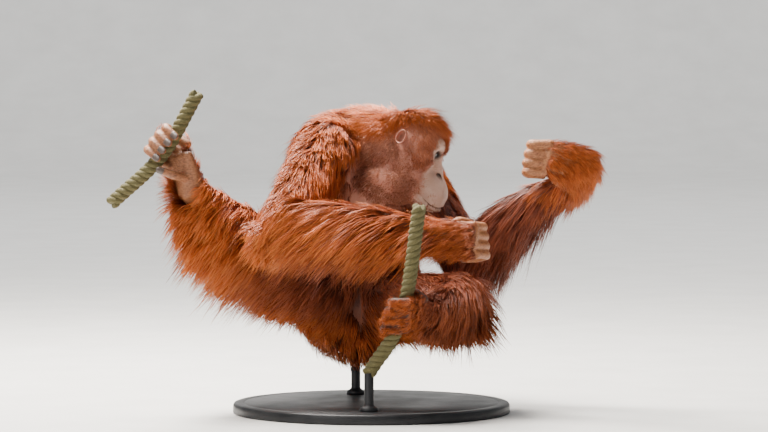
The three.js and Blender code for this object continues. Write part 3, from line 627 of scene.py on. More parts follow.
class Finish:
    """A material's nodes, made one after the other and linked by name."""

    def __init__(self, name):
        self.material = bpy.data.materials.new(name)
        self.material.use_nodes = True
        self.nodes = self.material.node_tree.nodes
        self.links = self.material.node_tree.links
        self.shader = self.nodes["Principled BSDF"]

    def node(self, kind, inputs=None, **settings):
        """A node with its settings, its inputs set to numbers or linked to other nodes' outputs."""
        made = self.nodes.new(kind)
        for key, value in settings.items():
            setattr(made, key, value)
        for key, value in (inputs or {}).items():
            self.join(made.inputs[key], value)
        return made

    def join(self, socket, value):
        """Link an output to this socket, or set its number."""
        if isinstance(value, bpy.types.NodeSocket):
            self.links.new(value, socket)
        else:
            socket.default_value = value

    def number(self, name):
        """The output of an attribute stored on the mesh."""
        return self.node("ShaderNodeAttribute", attribute_name=name).outputs["Fac"]

    def noise(self, scale, detail=4.0, rough=0.6, stretch=(1, 1, 1)):
        """Noise on the object's own coordinates, stretched along its axes."""
        place = self.node("ShaderNodeTexCoord").outputs["Object"]
        turned = self.node("ShaderNodeMapping", {"Vector": place, "Scale": stretch}).outputs["Vector"]
        made = self.node(
            "ShaderNodeTexNoise", {"Vector": turned, "Scale": scale, "Detail": detail, "Roughness": rough})
        return made.outputs["Fac"]

    def ramp(self, value, *stops):
        """Colours between stops of a value: each stop is its place and its red, green and blue."""
        made = self.node("ShaderNodeValToRGB", {"Fac": value})
        while len(made.color_ramp.elements) < len(stops):
            made.color_ramp.elements.new(0.5)
        for element, (place, colour) in zip(made.color_ramp.elements, stops):
            element.position = place
            element.color = (*colour, 1)
        return made.outputs["Color"]

    def mixed(self, share, first, second, way="MIX"):
        """First colour, turned into the second by the share, or multiplied by it."""
        made = self.node("ShaderNodeMix", data_type="RGBA", blend_type=way)
        self.join(made.inputs[0], share)
        for place, shade in ((6, first), (7, second)):
            self.join(made.inputs[place], shade if isinstance(shade, bpy.types.NodeSocket) else (*shade, 1))
        return made.outputs[2]

    def maths(self, operation, first, second=0.0):
        """One operation on two values."""
        return self.node("ShaderNodeMath", {0: first, 1: second}, operation=operation).outputs[0]

    def bump(self, height, distance, strength=1.0):
        """Relief of this height in metres on the shader."""
        made = self.node("ShaderNodeBump", {"Height": height, "Distance": distance, "Strength": strength})
        self.links.new(made.outputs["Normal"], self.shader.inputs["Normal"])

    def set(self, **values):
        """Set the shader's own sockets, spaces in their names written as underlines."""
        for key, value in values.items():
            self.join(self.shader.inputs[key.replace("_", " ")], value)


skin = Finish("orangutan_skin")
blotches = skin.noise(28, 5)
pores = skin.noise(620, 3)
wrinkles = skin.noise(190, 4, 0.65, (1, 1, 2.2))
under_fur = skin.ramp(blotches, (0.3, (0.13, 0.03, 0.012)), (0.7, (0.24, 0.07, 0.03)))
pale_face = skin.ramp(blotches, (0.3, (0.5, 0.31, 0.23)), (0.7, (0.7, 0.5, 0.4)))
bare_hand = skin.ramp(
    wrinkles, (0.32, (0.15, 0.045, 0.015)), (0.52, (0.34, 0.125, 0.045)), (0.75, (0.48, 0.21, 0.09)))
# Painted shade: a darker brown for the feet, as if in shade.
painted_shade_foot = skin.ramp(
    wrinkles, (0.32, (0.03, 0.01, 0.006)), (0.52, (0.09, 0.034, 0.02)), (0.75, (0.17, 0.075, 0.05)))
mauve_skin = skin.ramp(blotches, (0.2, (0.52, 0.21, 0.14)), (0.8, (0.66, 0.31, 0.22)))
# Painted shade: the skin under the coat's shaded side is darkened.
colour = skin.mixed(skin.number("deep"), under_fur, (0.09, 0.025, 0.015))
colour = skin.mixed(skin.number("pale"), colour, mauve_skin)
colour = skin.mixed(skin.number("face"), colour, pale_face)
colour = skin.mixed(skin.number("lip"), colour, (0.3, 0.13, 0.09))
colour = skin.mixed(skin.number("lid"), colour, (0.2, 0.09, 0.06))
# Painted shade: near black in the hollows of the eye slits, nostrils, mouth and ears.
colour = skin.mixed(skin.number("recess_shade"), colour, (0.012, 0.006, 0.005))
# Bare hands and feet; the feet take the painted shade.
colour = skin.mixed(skin.number("hand"), colour, skin.mixed(skin.number("foot"), bare_hand, painted_shade_foot))
skin.set(Base_Color=colour, Roughness=0.52, Subsurface_Weight=0.12, Subsurface_Scale=0.006)
skin.bump(skin.maths("ADD", skin.maths("MULTIPLY", pores, 0.35), wrinkles), 0.0011)
skin_piece = piece_of("orangutan_skin", skin_mesh, skin.material)
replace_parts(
    skin_piece, "head", "ear_right", "ear_left", "trunk",
    *[f"{part}_{side}" for part in ("upper_arm", "forearm", "hand", "thigh", "shank", "foot")
      for side in ("right", "left")],
)

# The eyes: wet brown balls deep in their sockets, with a clear bulging front, a dark iris and a black pupil.
# The lids of the skin close round each ball, so it needs no other hold.
eye_rings = 40
eye_around = 36
cornea_rise = 1.1


def eye_shape(side):
    """Ball of rings round the gaze: radius eye_radius, raised by a bump of cornea_rise within 24 degrees of
    the gaze. Also gives each point's angle off the gaze as a share of 90 degrees."""
    gaze = unit(np.array([1.0, 0.22 * side, -0.06]) @ head_axes)
    across = unit(np.cross(gaze, up))
    over = np.cross(across, gaze)
    degrees = np.linspace(3, 177, eye_rings)
    polar = np.radians(degrees)[:, None, None]
    turn = np.linspace(0, 2 * math.pi, eye_around, endpoint=False)[None, :, None]
    radius = eye_radius + cornea_rise * np.exp(-((polar / math.radians(24)) ** 4))
    ring = radius * (np.cos(polar) * gaze + np.sin(polar) * (np.cos(turn) * across + np.sin(turn) * over))
    centre = on_head(*(eye_place * (1, side, 1)))
    ends = [gaze * (eye_radius + cornea_rise), -gaze * eye_radius]
    points = centre + np.vstack([ring.reshape(-1, 3), ends])
    angle = np.concatenate([np.repeat(degrees, eye_around), [0, 180]]) / 90
    return points, *ring_faces(eye_rings, eye_around), angle


eye_finish = Finish("wet_eye")
ring_colour = eye_finish.ramp(
    eye_finish.number("off_gaze"),
    (0.0, (0.004, 0.003, 0.003)), (0.13, (0.005, 0.003, 0.003)), (0.16, (0.09, 0.03, 0.012)),
    (0.29, (0.13, 0.045, 0.016)), (0.33, (0.03, 0.012, 0.008)), (0.5, (0.05, 0.022, 0.015)),
    (0.8, (0.04, 0.02, 0.015)),
)
flecks = eye_finish.noise(700, 3)
eye_finish.set(
    Base_Color=eye_finish.mixed(eye_finish.maths("MULTIPLY", flecks, 0.25), ring_colour, (0.02, 0.01, 0.006)),
    Roughness=0.16, Coat_Weight=1.0, Coat_Roughness=0.03)
for side, name in ((-1, "eye_right"), (1, "eye_left")):
    eye_points, eye_quads, eye_triangles, eye_angles = eye_shape(side)
    eye_mesh = mesh_of(f"{name}_ball", eye_points, eye_quads, eye_triangles)
    give(eye_mesh, "off_gaze", eye_angles)
    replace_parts(piece_of(f"{name}_ball", eye_mesh, eye_finish.material), name)

# The nails: dark horn plates, curved across, on the back of each finger and toe tip.
# Each plate grows out of the skin, so its hind end and its under side are sunk into the tip.
nail_length = 15
nail_thickness = 2.2
nail_half_bend = 0.95
nail_grid = 9


def nail_shape(row):
    """Curved plate over a finger tip: a grid across and along, bent round the finger with a rounded front
    edge, and given its thickness as a second grid under the first, joined at the rim."""
    tip = row[-1]
    along = unit(row[-1] - row[-2])
    inward = unit(row[-3] - row[-1] - ((row[-3] - row[-1]) @ along) * along)
    across = np.cross(along, inward)
    count = nail_grid
    s, t = np.meshgrid(np.linspace(-1, 1, count), np.linspace(0, 1, count), indexing="ij")
    bend = s[..., None] * nail_half_bend
    reach = (-8 + t * nail_length * (1 - 0.28 * s * s))[..., None]
    layers = []
    for radius in (finger_radius * 0.9, finger_radius * 0.9 - nail_thickness):
        drop = (radius - 3.0 * np.clip(t - 0.45, 0, 1) ** 2)[..., None]
        layers.append(tip + np.sin(bend) * across * radius - np.cos(bend) * inward * drop + reach * along)
    points = np.vstack([layer.reshape(-1, 3) for layer in layers])
    i, j = np.meshgrid(np.arange(count - 1), np.arange(count - 1), indexing="ij")
    corner = (i * count + j).ravel()
    top = np.stack([corner, corner + count, corner + count + 1, corner + 1], -1)
    layer_size = count * count
    under = top[:, ::-1] + layer_size
    edge = np.concatenate([
        np.arange(count), np.arange(2, count + 1) * count - 1,
        layer_size - 1 - np.arange(1, count), (np.arange(1, count - 1) * count)[::-1]])
    following = np.roll(edge, -1)
    rim = np.stack([edge, following, following + layer_size, edge + layer_size], -1)
    return points, np.vstack([top, under, rim]), np.empty((0, 3), int)


nail_mesh = mesh_of(
    "nails", *together([nail_shape(row) for joint_rows in digits.values() for row in joint_rows]))
horn = Finish("dark_horn")
grain = horn.noise(420, 3, 0.5, (3, 3, 1))
horn.set(
    Base_Color=horn.ramp(grain, (0.3, (0.03, 0.02, 0.018)), (0.7, (0.12, 0.085, 0.07))),
    Roughness=horn.ramp(grain, (0.3, (0.3, 0.3, 0.3)), (0.7, (0.5, 0.5, 0.5))))
horn.bump(grain, 0.0002)
piece_of("nails", nail_mesh, horn.material)

# The coat: long, loose, fiery hair that lies along the limbs and hangs from them in locks.
# Guide hairs grow from the skin first. Each carries a lock of fine tapering tufts that mostly draw together
# to its tip.
rng = np.random.default_rng(7)
hair_traits = {
    # length in mm and how much grows, down the limb; how deep the coat lies, sag, stand, and lie along (1) or
    # against (-1) the limb
    "trunk": ((30, 44, 62, 74, 76, 66, 50), (1, 1, 1, 1, 1, 1, 1), 24, 0.25, 0.35, -1),
    "neck": ((42, 38, 34), (1, 1, 1), 8, 0.5, 0.2, -1),
    "throat": ((26, 24, 20), (0.35, 0.3, 0.3), 3, 0.6, 0.1, -1),
    "upper_arm_right": ((55, 66, 78, 84, 88), (1, 1, 1, 1, 1), 20, 0.8, 0.2, 1),
    "forearm_right": ((105, 118, 128, 135, 125), (1, 1, 1, 1, 1), 14, 0.8, 0.25, -1),
    "upper_arm_left": ((28, 40, 60, 75, 85), (1, 1, 1, 1, 1), 10, 0.4, 0.25, 1),
    "forearm_left": ((100, 110, 110, 90, 50), (1, 1, 1, 1, 0.9), 14, 0.75, 0.25, -1),
    "thigh_right": ((50, 110, 150, 155, 150), (1, 1, 1, 1, 1), 22, 1.0, 0.3, 1),
    "shank_right": ((150, 145, 125, 90, 58), (1, 1, 1, 1, 1), 18, 1.0, 0.3, 1),
    "thigh_left": ((60, 80, 95, 95, 90), (1, 1, 1, 1, 1), 14, 0.75, 0.3, 1),
    "shank_left": ((90, 85, 72, 55, 35), (1, 1, 1, 0.9, 0.6), 12, 0.75, 0.25, 1),
    "hand_right": ((85, 42, 18), (1, 1, 0.7), 5, 0.5, 0.2, -1),
    "wrist_left": ((50, 45, 40), (1, 1, 1), 9, 0.35, 0.3, -1),
    "hand_left": ((38, 34, 16), (1, 1, 0.6), 7, 0.3, 0.3, -1),
    "foot_right": ((45, 34, 20), (1, 0.9, 0.5), 6, 0.4, 0.3, 1),
    "foot_left": ((38, 26, 18), (1, 1, 0.9), 5, 0.4, 0.25, 1),
}
backs = {
    "hand_right": (0.1, -1, 0.1),
    "hand_left": (0.4, -0.9, 0.2),
    "foot_right": (-0.3, 0.9, 0.1),
    "foot_left": (0.1, -1, 0.1),
}
flesh_rows = []
for number, (name, traits) in enumerate(hair_traits.items()):
    stations = limbs.get(name) or palms[name]
    length_of_limb = sum(np.linalg.norm(np.subtract(a[0], b[0])) for a, b in zip(stations, stations[1:]))
    count = int(length_of_limb / 14) + 3
    centres, side, front, along, wide, deep = sections(stations, count)
    lengths, amounts, depth, sag, stand, way = traits
    shares = np.linspace(0, 1, count)
    for k in range(count):
        least = min(wide[k, 0], deep[k, 0])
        flesh_rows.append({
            "centre": centres[k],
            "axes": np.array([side[k] / wide[k, 0], front[k] / deep[k, 0], along[k] / least]),
            "least": least,
            "lie": along[k] * way,
            "length": through(np.array(lengths, float)[:, None], shares[k:k + 1])[0, 0],
            "amount": through(np.array(amounts, float)[:, None], shares[k:k + 1])[0, 0],
            "depth": depth,
            "sag": sag,
            "stand": stand,
            "limb": number,
            "share": shares[k],
            "back": np.array(backs.get(name, (0, 0, 0)), float),
        })
for at, radii in head_eggs:
    flesh_rows.append({
        "centre": on_head(*at),
        "axes": head_axes / np.array(radii, float)[:, None],
        "least": min(radii),
        "lie": -head_up,
        "length": 40.0,
        "amount": 1.0,
        "depth": 8.0,
        "sag": 0.4,
        "stand": 0.25,
        "limb": len(hair_traits),
        "share": 0.5,
        "back": np.zeros(3),
    })
flesh = {key: np.array([row[key] for row in flesh_rows]) for key in flesh_rows[0]}


def nearness(points):
    """For each point and each egg of the flesh, how far it lies outside in mm: (its length in the egg's axes
    less 1) times the egg's least radius. Also that length itself."""
    far = np.empty((len(points), len(flesh["least"])), np.float32)
    batch = 20000
    for start in range(0, len(points), batch):
        offset = points[start:start + batch, None] - flesh["centre"][None]
        local = np.einsum("kij,nkj->nki", flesh["axes"], offset)
        far[start:start + batch] = np.linalg.norm(local, axis=2)
    return (far - 1) * flesh["least"], far


def blended(near, key):
    """A trait at each point: the eggs' values weighed by how near they are, over about 16 mm."""
    weight = np.exp(-(near - near.min(1, keepdims=True)) / 16)
    weight /= weight.sum(1, keepdims=True)
    return weight @ flesh[key]


def cleared(points, margin):
    """Points moved out of the flesh: one nearer than the margin goes straight out from its nearest egg's
    centre to that margin."""
    near, far = nearness(points)
    egg = near.argmin(1)
    rows = np.arange(len(points))
    wanted = 1 + margin / flesh["least"][egg]
    grow = np.maximum(wanted / np.maximum(far[rows, egg], 0.2), 1)
    centre = flesh["centre"][egg]
    return centre + (points - centre) * grow[:, None]


def grown(roots, normals, lie, length, sag, stand, layer, steps=7):
    """Guide hairs: from 3 mm under each root, even steps along its lie, turned outwards near the root and
    downwards towards the tip, each kept off the flesh by a margin that grows along the hair."""
    rows = [roots - normals * 3]
    place = roots
    for step in range(steps):
        s = (step + 0.5) / steps
        way = lie + normals * (stand * (1 - s) ** 2)[:, None]
        way = unit(way + np.array([0, 0, -1.0]) * (sag * (0.25 + 1.5 * s))[:, None])
        place = cleared(place + way * (length / steps)[:, None], 0.8 + layer * s)
        rows.append(place)
    return np.stack(rows, 1)


def tuft_mesh(name, guides, normals, spots, children, half_width, spread, marks, stops):
    """Locks as one mesh. A tuft follows its guide at the stops, which are shares of its own length, offset by
    its place round the root, which mostly shrinks to the tip; it is a flat three-sided spike with a closed
    root. Its width at the share s of its length goes as 0.8 + 0.9 s - 1.6 s s."""
    count = len(guides)
    around = rng.uniform(0, 2 * math.pi, (count, children))
    away = spread * np.sqrt(rng.uniform(0, 1, (count, children)))
    across = unit(np.cross(normals, rng.normal(size=normals.shape)))
    over = np.cross(normals, across)
    offset = across[:, None] * (np.cos(around) * away)[..., None]
    offset = offset + over[:, None] * (np.sin(around) * away)[..., None]
    own_length = rng.uniform(0.62, 1.0, (count, children))
    loose = rng.uniform(0, 1, (count, children)) < 0.22
    draw = np.where(loose, -0.3, rng.uniform(0.2, 0.7, (count, children)))
    steps = guides.shape[1] - 1
    wobble = rng.normal(size=(count, children, 3)) * 0.035
    reach = np.linalg.norm(guides[:, -1] - guides[:, 0], axis=1)
    row = np.arange(count)[:, None]
    rings = []
    for share in stops:
        place = np.minimum(share * own_length * steps, steps - 1e-6)
        low = place.astype(int)
        part = (place - low)[..., None]
        on_guide = guides[row, low] * (1 - part) + guides[row, low + 1] * part
        drawn = offset * (1 - draw * share)[..., None]
        rings.append(on_guide + drawn + wobble * reach[:, None, None] * share * share)
    last = len(stops) - 1
    rings = np.stack(rings, 2).reshape(-1, last + 1, 3)
    outward = np.repeat(normals, children, 0)
    along = unit(np.gradient(rings, axis=1))
    side = unit(np.cross(along, outward[:, None]))
    lift = np.cross(side, along)
    stops = np.array(stops)
    taper = (0.8 + 0.9 * stops - 1.6 * stops**2)[:last]
    fineness = np.clip(reach / 45, 0.55, 1)
    fineness = np.repeat(fineness, children)[:, None, None] * rng.uniform(0.7, 1.25, (len(rings), 1, 1))
    widths = half_width * taper[None, :, None] * fineness
    body = rings[:, :last]
    corners = np.stack([
        body + side[:, :last] * widths,
        body - side[:, :last] * widths,
        body + lift[:, :last] * widths * 0.5,
    ], 2).reshape(len(rings), 3 * last, 3)
    points = np.concatenate([corners, rings[:, last:]], 1)
    pattern = []
    for ring in range(0, 3 * last - 3, 3):
        for a, b in ((0, 1), (1, 2), (2, 0)):
            pattern.append((ring + a, ring + b, ring + 3 + b))
            pattern.append((ring + a, ring + 3 + b, ring + 3 + a))
    tip = 3 * last
    pattern += [(tip - 3, tip - 2, tip), (tip - 2, tip - 1, tip), (tip - 1, tip - 3, tip), (0, 2, 1)]
    each = tip + 1
    patch_size = 0.003
    faces = (np.arange(len(rings))[:, None, None] * each + np.array(pattern)).reshape(-1, 3)
    mesh = mesh_of(name, points.reshape(-1, 3), faces)
    height = np.append(np.repeat(stops[:last], 3), 1.0)
    give(mesh, "along", np.tile(height, len(rings)))
    lock_shade = np.repeat(rng.normal(0, 0.1, count), children)
    shade = np.clip(lock_shade + rng.normal(0, 0.14, len(rings)), -0.5, 0.5) + 0.5
    give(mesh, "shade", np.repeat(shade, each))
    for mark, values in marks.items():
        give(mesh, mark, np.repeat(np.repeat(values, children), each))
    spot = np.repeat(spots, children, 0) + rng.uniform(-0.004, 0.004, (len(rings), 2))
    within = np.stack([np.append(np.tile([0, 1, 0.5], last), 0.5), height], 1) * patch_size
    patch = (np.clip(spot, 0.001, 0.996)[:, None] + within).reshape(-1, 2)
    unwrap = mesh.uv_layers.new(name="OFBake")
    unwrap.uv.foreach_set("vector", patch[faces.ravel()].astype(np.float32).ravel())
    return mesh


def haired(points, normals, near):
    """How much hair grows at each point of the skin: the limb's own amount, none on the bare face, the ears,
    palms, soles, fingers and right toes, and less on the breast."""
    amount = blended(near, "amount")
    back = blended(near, "back")
    told = np.linalg.norm(back, axis=1)
    facing = (unit(back) * normals).sum(1)
    amount = amount * np.where(told > 0.3, step_up(facing, -0.15, 0.45), 1)
    finger_far = np.full(len(points), far_off)
    for part in ("hand_right", "hand_left", "foot_right"):
        for row in digits[part]:
            for middle in through(row, np.linspace(0.08, 1, 9)):
                finger_far = np.minimum(finger_far, np.linalg.norm(points - middle, axis=1))
    amount = amount * step_up(finger_far, 10.5, 14)
    amount = amount * step_up(ear_distance(points), 1, 9)
    return amount * (1 - face_share(points)) * (1 - 0.7 * bare_breast(points))


def ear_distance(points):
    """How far outside the ears, in mm: from an egg round each ear."""
    local = in_head(points)
    local[:, 1] = np.abs(local[:, 1])
    return egg_depth(local, ear_place, (12, 16, 17))


def paleness(points):
    """Where the hair is thin and mauve: the sides of the head and neck, and the side of the breast."""
    neck_far = np.linalg.norm((points - (-2, -85, 448)) / (86, 130, 90), axis=1)
    cheek_far = np.linalg.norm((points - (62, -100, 500)) / (62, 70, 62), axis=1)
    return np.maximum(1 - step_up(neck_far, 0.75, 1.1), 0.65 * (1 - step_up(cheek_far, 0.7, 1.1)))


def bare_breast(points):
    """1 on the nearly bare side of the breast, between the neck and the shoulder, and 0 off it."""
    far = np.linalg.norm((points - (-22, -100, 440)) / (50, 80, 84), axis=1)
    return 1 - step_up(far, 0.8, 1.1)


def painted_shade_share(points):
    """Painted shade: how much the coat lies in shade, where its hair and the skin under it are painted a dark
    red
    brown: the belly, the lower side of the near arm, the inside of the legs and the raised arm."""
    belly = np.linalg.norm((points - (-40, -200, 280)) / (185, 240, 130), axis=1)
    leg = np.linalg.norm((points - (120, -250, 210)) / (130, 200, 90), axis=1)
    far_arm = np.linalg.norm((points - (235, -110, 345)) / (160, 220, 100), axis=1)
    inside = np.maximum(0.8 * (1 - step_up(leg, 0.7, 1.1)), 1 - step_up(far_arm, 0.8, 1.3))
    return np.maximum(1 - step_up(belly, 0.5, 1.15), inside)


skin_mesh.calc_loop_triangles()
triangle_count = len(skin_mesh.loop_triangles)
triangle_corners = np.empty(triangle_count * 3, np.int32)
skin_mesh.loop_triangles.foreach_get("vertices", triangle_corners)
triangle_points = skin_points[triangle_corners.reshape(-1, 3)]
triangle_cross = np.cross(
    triangle_points[:, 1] - triangle_points[:, 0], triangle_points[:, 2] - triangle_points[:, 0])
triangle_areas = np.linalg.norm(triangle_cross, axis=1) / 2
triangle_middles = triangle_points.mean(1)
triangle_normals = unit(triangle_cross)
triangle_near, _ = nearness(triangle_middles)
triangle_limb = flesh["limb"][triangle_near.argmin(1)]
triangle_hair = haired(triangle_middles, triangle_normals, triangle_near) * triangle_areas
give(skin_mesh, "pale", paleness(skin_points))
# The painted shade mark on the skin: how much the coat there lies in shade.
give(skin_mesh, "deep", painted_shade_share(skin_points))

limb_names = [*hair_traits, "head"]
long_hair = (0.0, 0.35, 0.7, 1.0)
short_hair = (0.0, 0.5, 1.0)
coats = {
    # piece: its limbs, number of locks, tufts in a lock, a tuft's half width and a lock's spread in mm, stops
    "coat_head": (("head",), 1980, 10, 0.62, 8, short_hair),
    "coat_neck": (("neck", "throat"), 1700, 10, 0.75, 9, short_hair),
    "coat_trunk": (("trunk",), 1500, 13, 1.1, 13, short_hair),
    "coat_arm_right": (("upper_arm_right", "forearm_right"), 1240, 10, 1.1, 10, long_hair),
    "coat_arm_left": (("upper_arm_left", "forearm_left"), 1240, 10, 1.1, 10, long_hair),
    "coat_leg_right": (("thigh_right", "shank_right"), 1240, 10, 1.15, 11, long_hair),
    "coat_leg_left": (("thigh_left", "shank_left"), 1100, 10, 1.1, 9, long_hair),
    "coat_hands_and_feet": (
        ("hand_right", "wrist_left", "hand_left", "foot_right", "foot_left"), 1500, 10, 0.55, 6, short_hair),
}
fur = Finish("orangutan_hair")
tip_share = fur.number("along")
fiery = fur.ramp(
    tip_share, (0.0, (0.11, 0.018, 0.004)), (0.4, (0.47, 0.085, 0.012)), (0.8, (0.8, 0.17, 0.02)),
    (1.0, (0.98, 0.32, 0.055)))
mauve = fur.ramp(tip_share, (0.0, (0.46, 0.15, 0.085)), (0.5, (0.68, 0.26, 0.15)), (1.0, (0.88, 0.4, 0.25)))
# Painted shade: a dark red brown for the hair on the coat's shaded side.
painted_shade_maroon = fur.ramp(
    tip_share, (0.0, (0.05, 0.01, 0.005)), (0.5, (0.2, 0.036, 0.013)), (1.0, (0.42, 0.1, 0.035)))
tone = fur.mixed(fur.number("deep"), fiery, painted_shade_maroon)
tone = fur.mixed(fur.number("pale"), tone, mauve)
lock_shades = fur.ramp(
    fur.number("shade"), (0.0, (0.25, 0.2, 0.18)), (0.5, (0.75, 0.72, 0.7)), (1.0, (1.15, 1.2, 1.25)))
tone = fur.mixed(1.0, tone, lock_shades, "MULTIPLY")
patches = fur.maths("MULTIPLY", fur.noise(9, 3), 0.35)
fur.set(Base_Color=fur.mixed(patches, tone, (0.2, 0.05, 0.018)), Roughness=0.5, Specular_IOR_Level=0.3)
for name, (members, locks, children, half_width, spread, stops) in coats.items():
    numbers = [limb_names.index(member) for member in members]
    weight = triangle_hair * np.isin(triangle_limb, numbers)
    picked = rng.choice(triangle_count, locks, p=weight / weight.sum())
    corner = rng.dirichlet((1, 1, 1), locks)
    roots = (triangle_points[picked] * corner[..., None]).sum(1)
    normals = triangle_normals[picked]
    near, _ = nearness(roots)
    lie = blended(near, "lie")
    from_crown = unit(roots - on_head(-38, 0, 42))
    from_face = unit(roots - on_head(72, 0, -20))
    on_skull = 1 - step_up(np.linalg.norm(in_head(roots) - (10, 0, 0), axis=1), 65, 95)[:, None]
    beside_face = (1 - step_up(face_distance(roots), 1.1, 1.7)) * step_up(-in_head(roots)[:, 2], -25, 5)
    beside_face = beside_face[:, None]
    lie = lie * (1 - on_skull) + from_crown * on_skull
    lie = lie * (1 - beside_face) + from_face * beside_face
    lie = unit(lie - (lie * normals).sum(1, keepdims=True) * normals * 0.9)
    lie = unit(lie + rng.normal(0, 0.12, lie.shape))
    length = blended(near, "length") * rng.uniform(0.8, 1.15, locks)
    length = length * (0.2 + 0.8 * step_up(face_distance(roots), 1.05, 2.2))
    length = length * (0.3 + 0.7 * step_up(ear_distance(roots), 10, 42))
    length = length * (1 - 0.5 * paleness(roots)) * (1 - 0.4 * bare_breast(roots))
    layer = blended(near, "depth") * rng.uniform(0.1, 1.0, locks) * np.clip(length / 40, 0.25, 1)
    on_crown = step_up(in_head(roots)[:, 2], 22, 48) * on_skull[:, 0]
    on_belly = painted_shade_share(roots) * step_up(normals[:, 0], 0.1, 0.6)
    layer = layer * (1 + 3.4 * on_crown + 1.4 * on_belly)
    length = length * (1 + 0.5 * on_belly)
    stand = blended(near, "stand") + 0.55 * on_crown
    guides = grown(roots, normals, lie, length * (1 + 0.35 * on_crown), blended(near, "sag"), stand, layer)
    egg = near.argmin(1)
    local = np.einsum("nij,nj->ni", flesh["axes"][egg], roots - flesh["centre"][egg])
    turn = np.arctan2(local[:, 1], local[:, 0]) / (2 * math.pi) + 0.5
    column = np.searchsorted(numbers, flesh["limb"][egg]).clip(0, len(numbers) - 1)
    spots = np.stack([
        (column + 0.03 + 0.94 * turn) / len(numbers),
        0.02 + 0.96 * flesh["share"][egg],
    ], 1)
    # The painted shade mark on each lock: how much the coat there lies in shade.
    marks = {"pale": paleness(roots), "deep": painted_shade_share(roots)}
    mesh = tuft_mesh(name, guides, normals, spots, children, half_width, spread, marks, stops)
    piece_of(name, mesh, fur.material)
    print(name, len(mesh.polygons))

# The two ropes in the feet: worn three-strand rope, olive and brown with paler crests, cut off short.
# Each strand is a bar wound round the rope's own line, and the three together fill its 28 mm.
strand_radius = 6.6
strand_offset = 7.3
strand_cuts = 150
rope_lay = 37.0
rope_paths = {
    "rope_right_foot": [(-513, -300, 406), right_grip + (-12, 0, -14), (-352, -300, 612)],
    "rope_left_foot": [(-28, -386, 92), left_grip, (66, -400, 404)],
}


def strand(path, third):
    """One strand: its line is the rope's line plus the strand's offset, turned once in each lay; its round
    section stands square to that line."""
    shares = np.linspace(0, 1, strand_cuts)
    line = through(path, shares)
    along = unit(np.gradient(line, axis=0))
    far = np.concatenate([[0], np.cumsum(np.linalg.norm(np.diff(line, axis=0), axis=1))])
    a = unit(np.cross(along, (0, 1, 0.2)))
    b = np.cross(along, a)
    turn = (2 * math.pi * (far / rope_lay + third / 3))[:, None]
    core = line + strand_offset * (np.cos(turn) * a + np.sin(turn) * b)
    own = unit(np.gradient(core, axis=0))
    out = unit(core - line)
    out = unit(out - (out * own).sum(1, keepdims=True) * own)
    radii = np.full((strand_cuts, 1), strand_radius)
    return tube((core, out, np.cross(own, out), own, radii, radii), 14, 0.05)


rope_finish = Finish("worn_rope")
fibres = rope_finish.noise(900, 4, 0.6)
stains = rope_finish.noise(30, 3)
weathered = rope_finish.ramp(
    fibres, (0.3, (0.03, 0.025, 0.008)), (0.5, (0.105, 0.086, 0.028)), (0.72, (0.32, 0.27, 0.115)))
rope_finish.set(
    Base_Color=rope_finish.mixed(rope_finish.maths("MULTIPLY", stains, 0.6), weathered, (0.09, 0.085, 0.03)),
    Roughness=0.85)
rope_finish.bump(fibres, 0.0012)
for name, path in rope_paths.items():
    rope_mesh = mesh_of(f"{name}_strands", *together([strand(path, third) for third in range(3)]))
    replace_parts(piece_of(f"{name}_strands", rope_mesh, rope_finish.material), name)

# The display stand: a heavy round base of dark painted steel with a turned edge, and two short rods.
# Each rod stands in a low turned collar; one goes up into the rump, the other to the cut end of a rope.
base_radius = 265.0
base_height = 20.0
rod_radius = 9.0


def turned(profile, centre, around):
    """Closed surface of revolution: each point of the profile, a radius and a height, carried round the
    centre."""
    turn = np.linspace(0, 2 * math.pi, around, endpoint=False)
    profile = np.array(profile, float)
    ring = np.stack([
        profile[:, :1] * np.cos(turn), profile[:, :1] * np.sin(turn), profile[:, 1:] + 0 * turn], -1)
    poles = [(0, 0, profile[0, 1]), (0, 0, profile[-1, 1])]
    points = np.asarray(centre, float) + np.vstack([ring.reshape(-1, 3), poles])
    return points, *ring_faces(len(profile), around)


steel = Finish("painted_steel")
speckle = steel.noise(500, 3)
wear = steel.noise(14, 4)
steel.set(
    Base_Color=steel.ramp(wear, (0.3, (0.018, 0.018, 0.02)), (0.75, (0.04, 0.04, 0.043))),
    Roughness=steel.ramp(wear, (0.3, (0.34, 0.34, 0.34)), (0.7, (0.5, 0.5, 0.5))), Metallic=0.6)
steel.bump(speckle, 0.00012)
top = base_height
rim = base_radius
edge_profile = [
    (5, 0), (rim - 3, 0), (rim - 0.6, 0.8), (rim, 3), (rim - 0.4, top - 5), (rim - 2.4, top - 1.4),
    (rim - 5.5, top - 0.2), (rim - 9, top), (rim - 20, top), (rim - 21, top - 0.8), (rim - 22.5, top - 0.8),
    (rim - 23.5, top), (120, top), (5, top),
]
base_mesh = mesh_of("stand_base_plate", *turned(edge_profile, base_centre, 160))
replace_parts(piece_of("stand_base_plate", base_mesh, steel.material), "stand_base")
for name, foot in (("stand_rod_rump", (-55, -24)), ("stand_rod_rope", (-28, -386))):
    low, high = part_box(name)
    rod_top = (high[2] - origin[2]) * 1000
    collar = [
        (2, top), (17, top), (17.6, top + 1), (17.2, top + 6), (13, top + 9), (rod_radius + 1, top + 11),
        (rod_radius, top + 14), (rod_radius, rod_top - 1.2), (rod_radius - 1.2, rod_top), (2, rod_top),
    ]
    rod_mesh = mesh_of(f"{name}_turned", *turned(collar, (*foot, 0), 32))
    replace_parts(piece_of(f"{name}_turned", rod_mesh, steel.material), name)

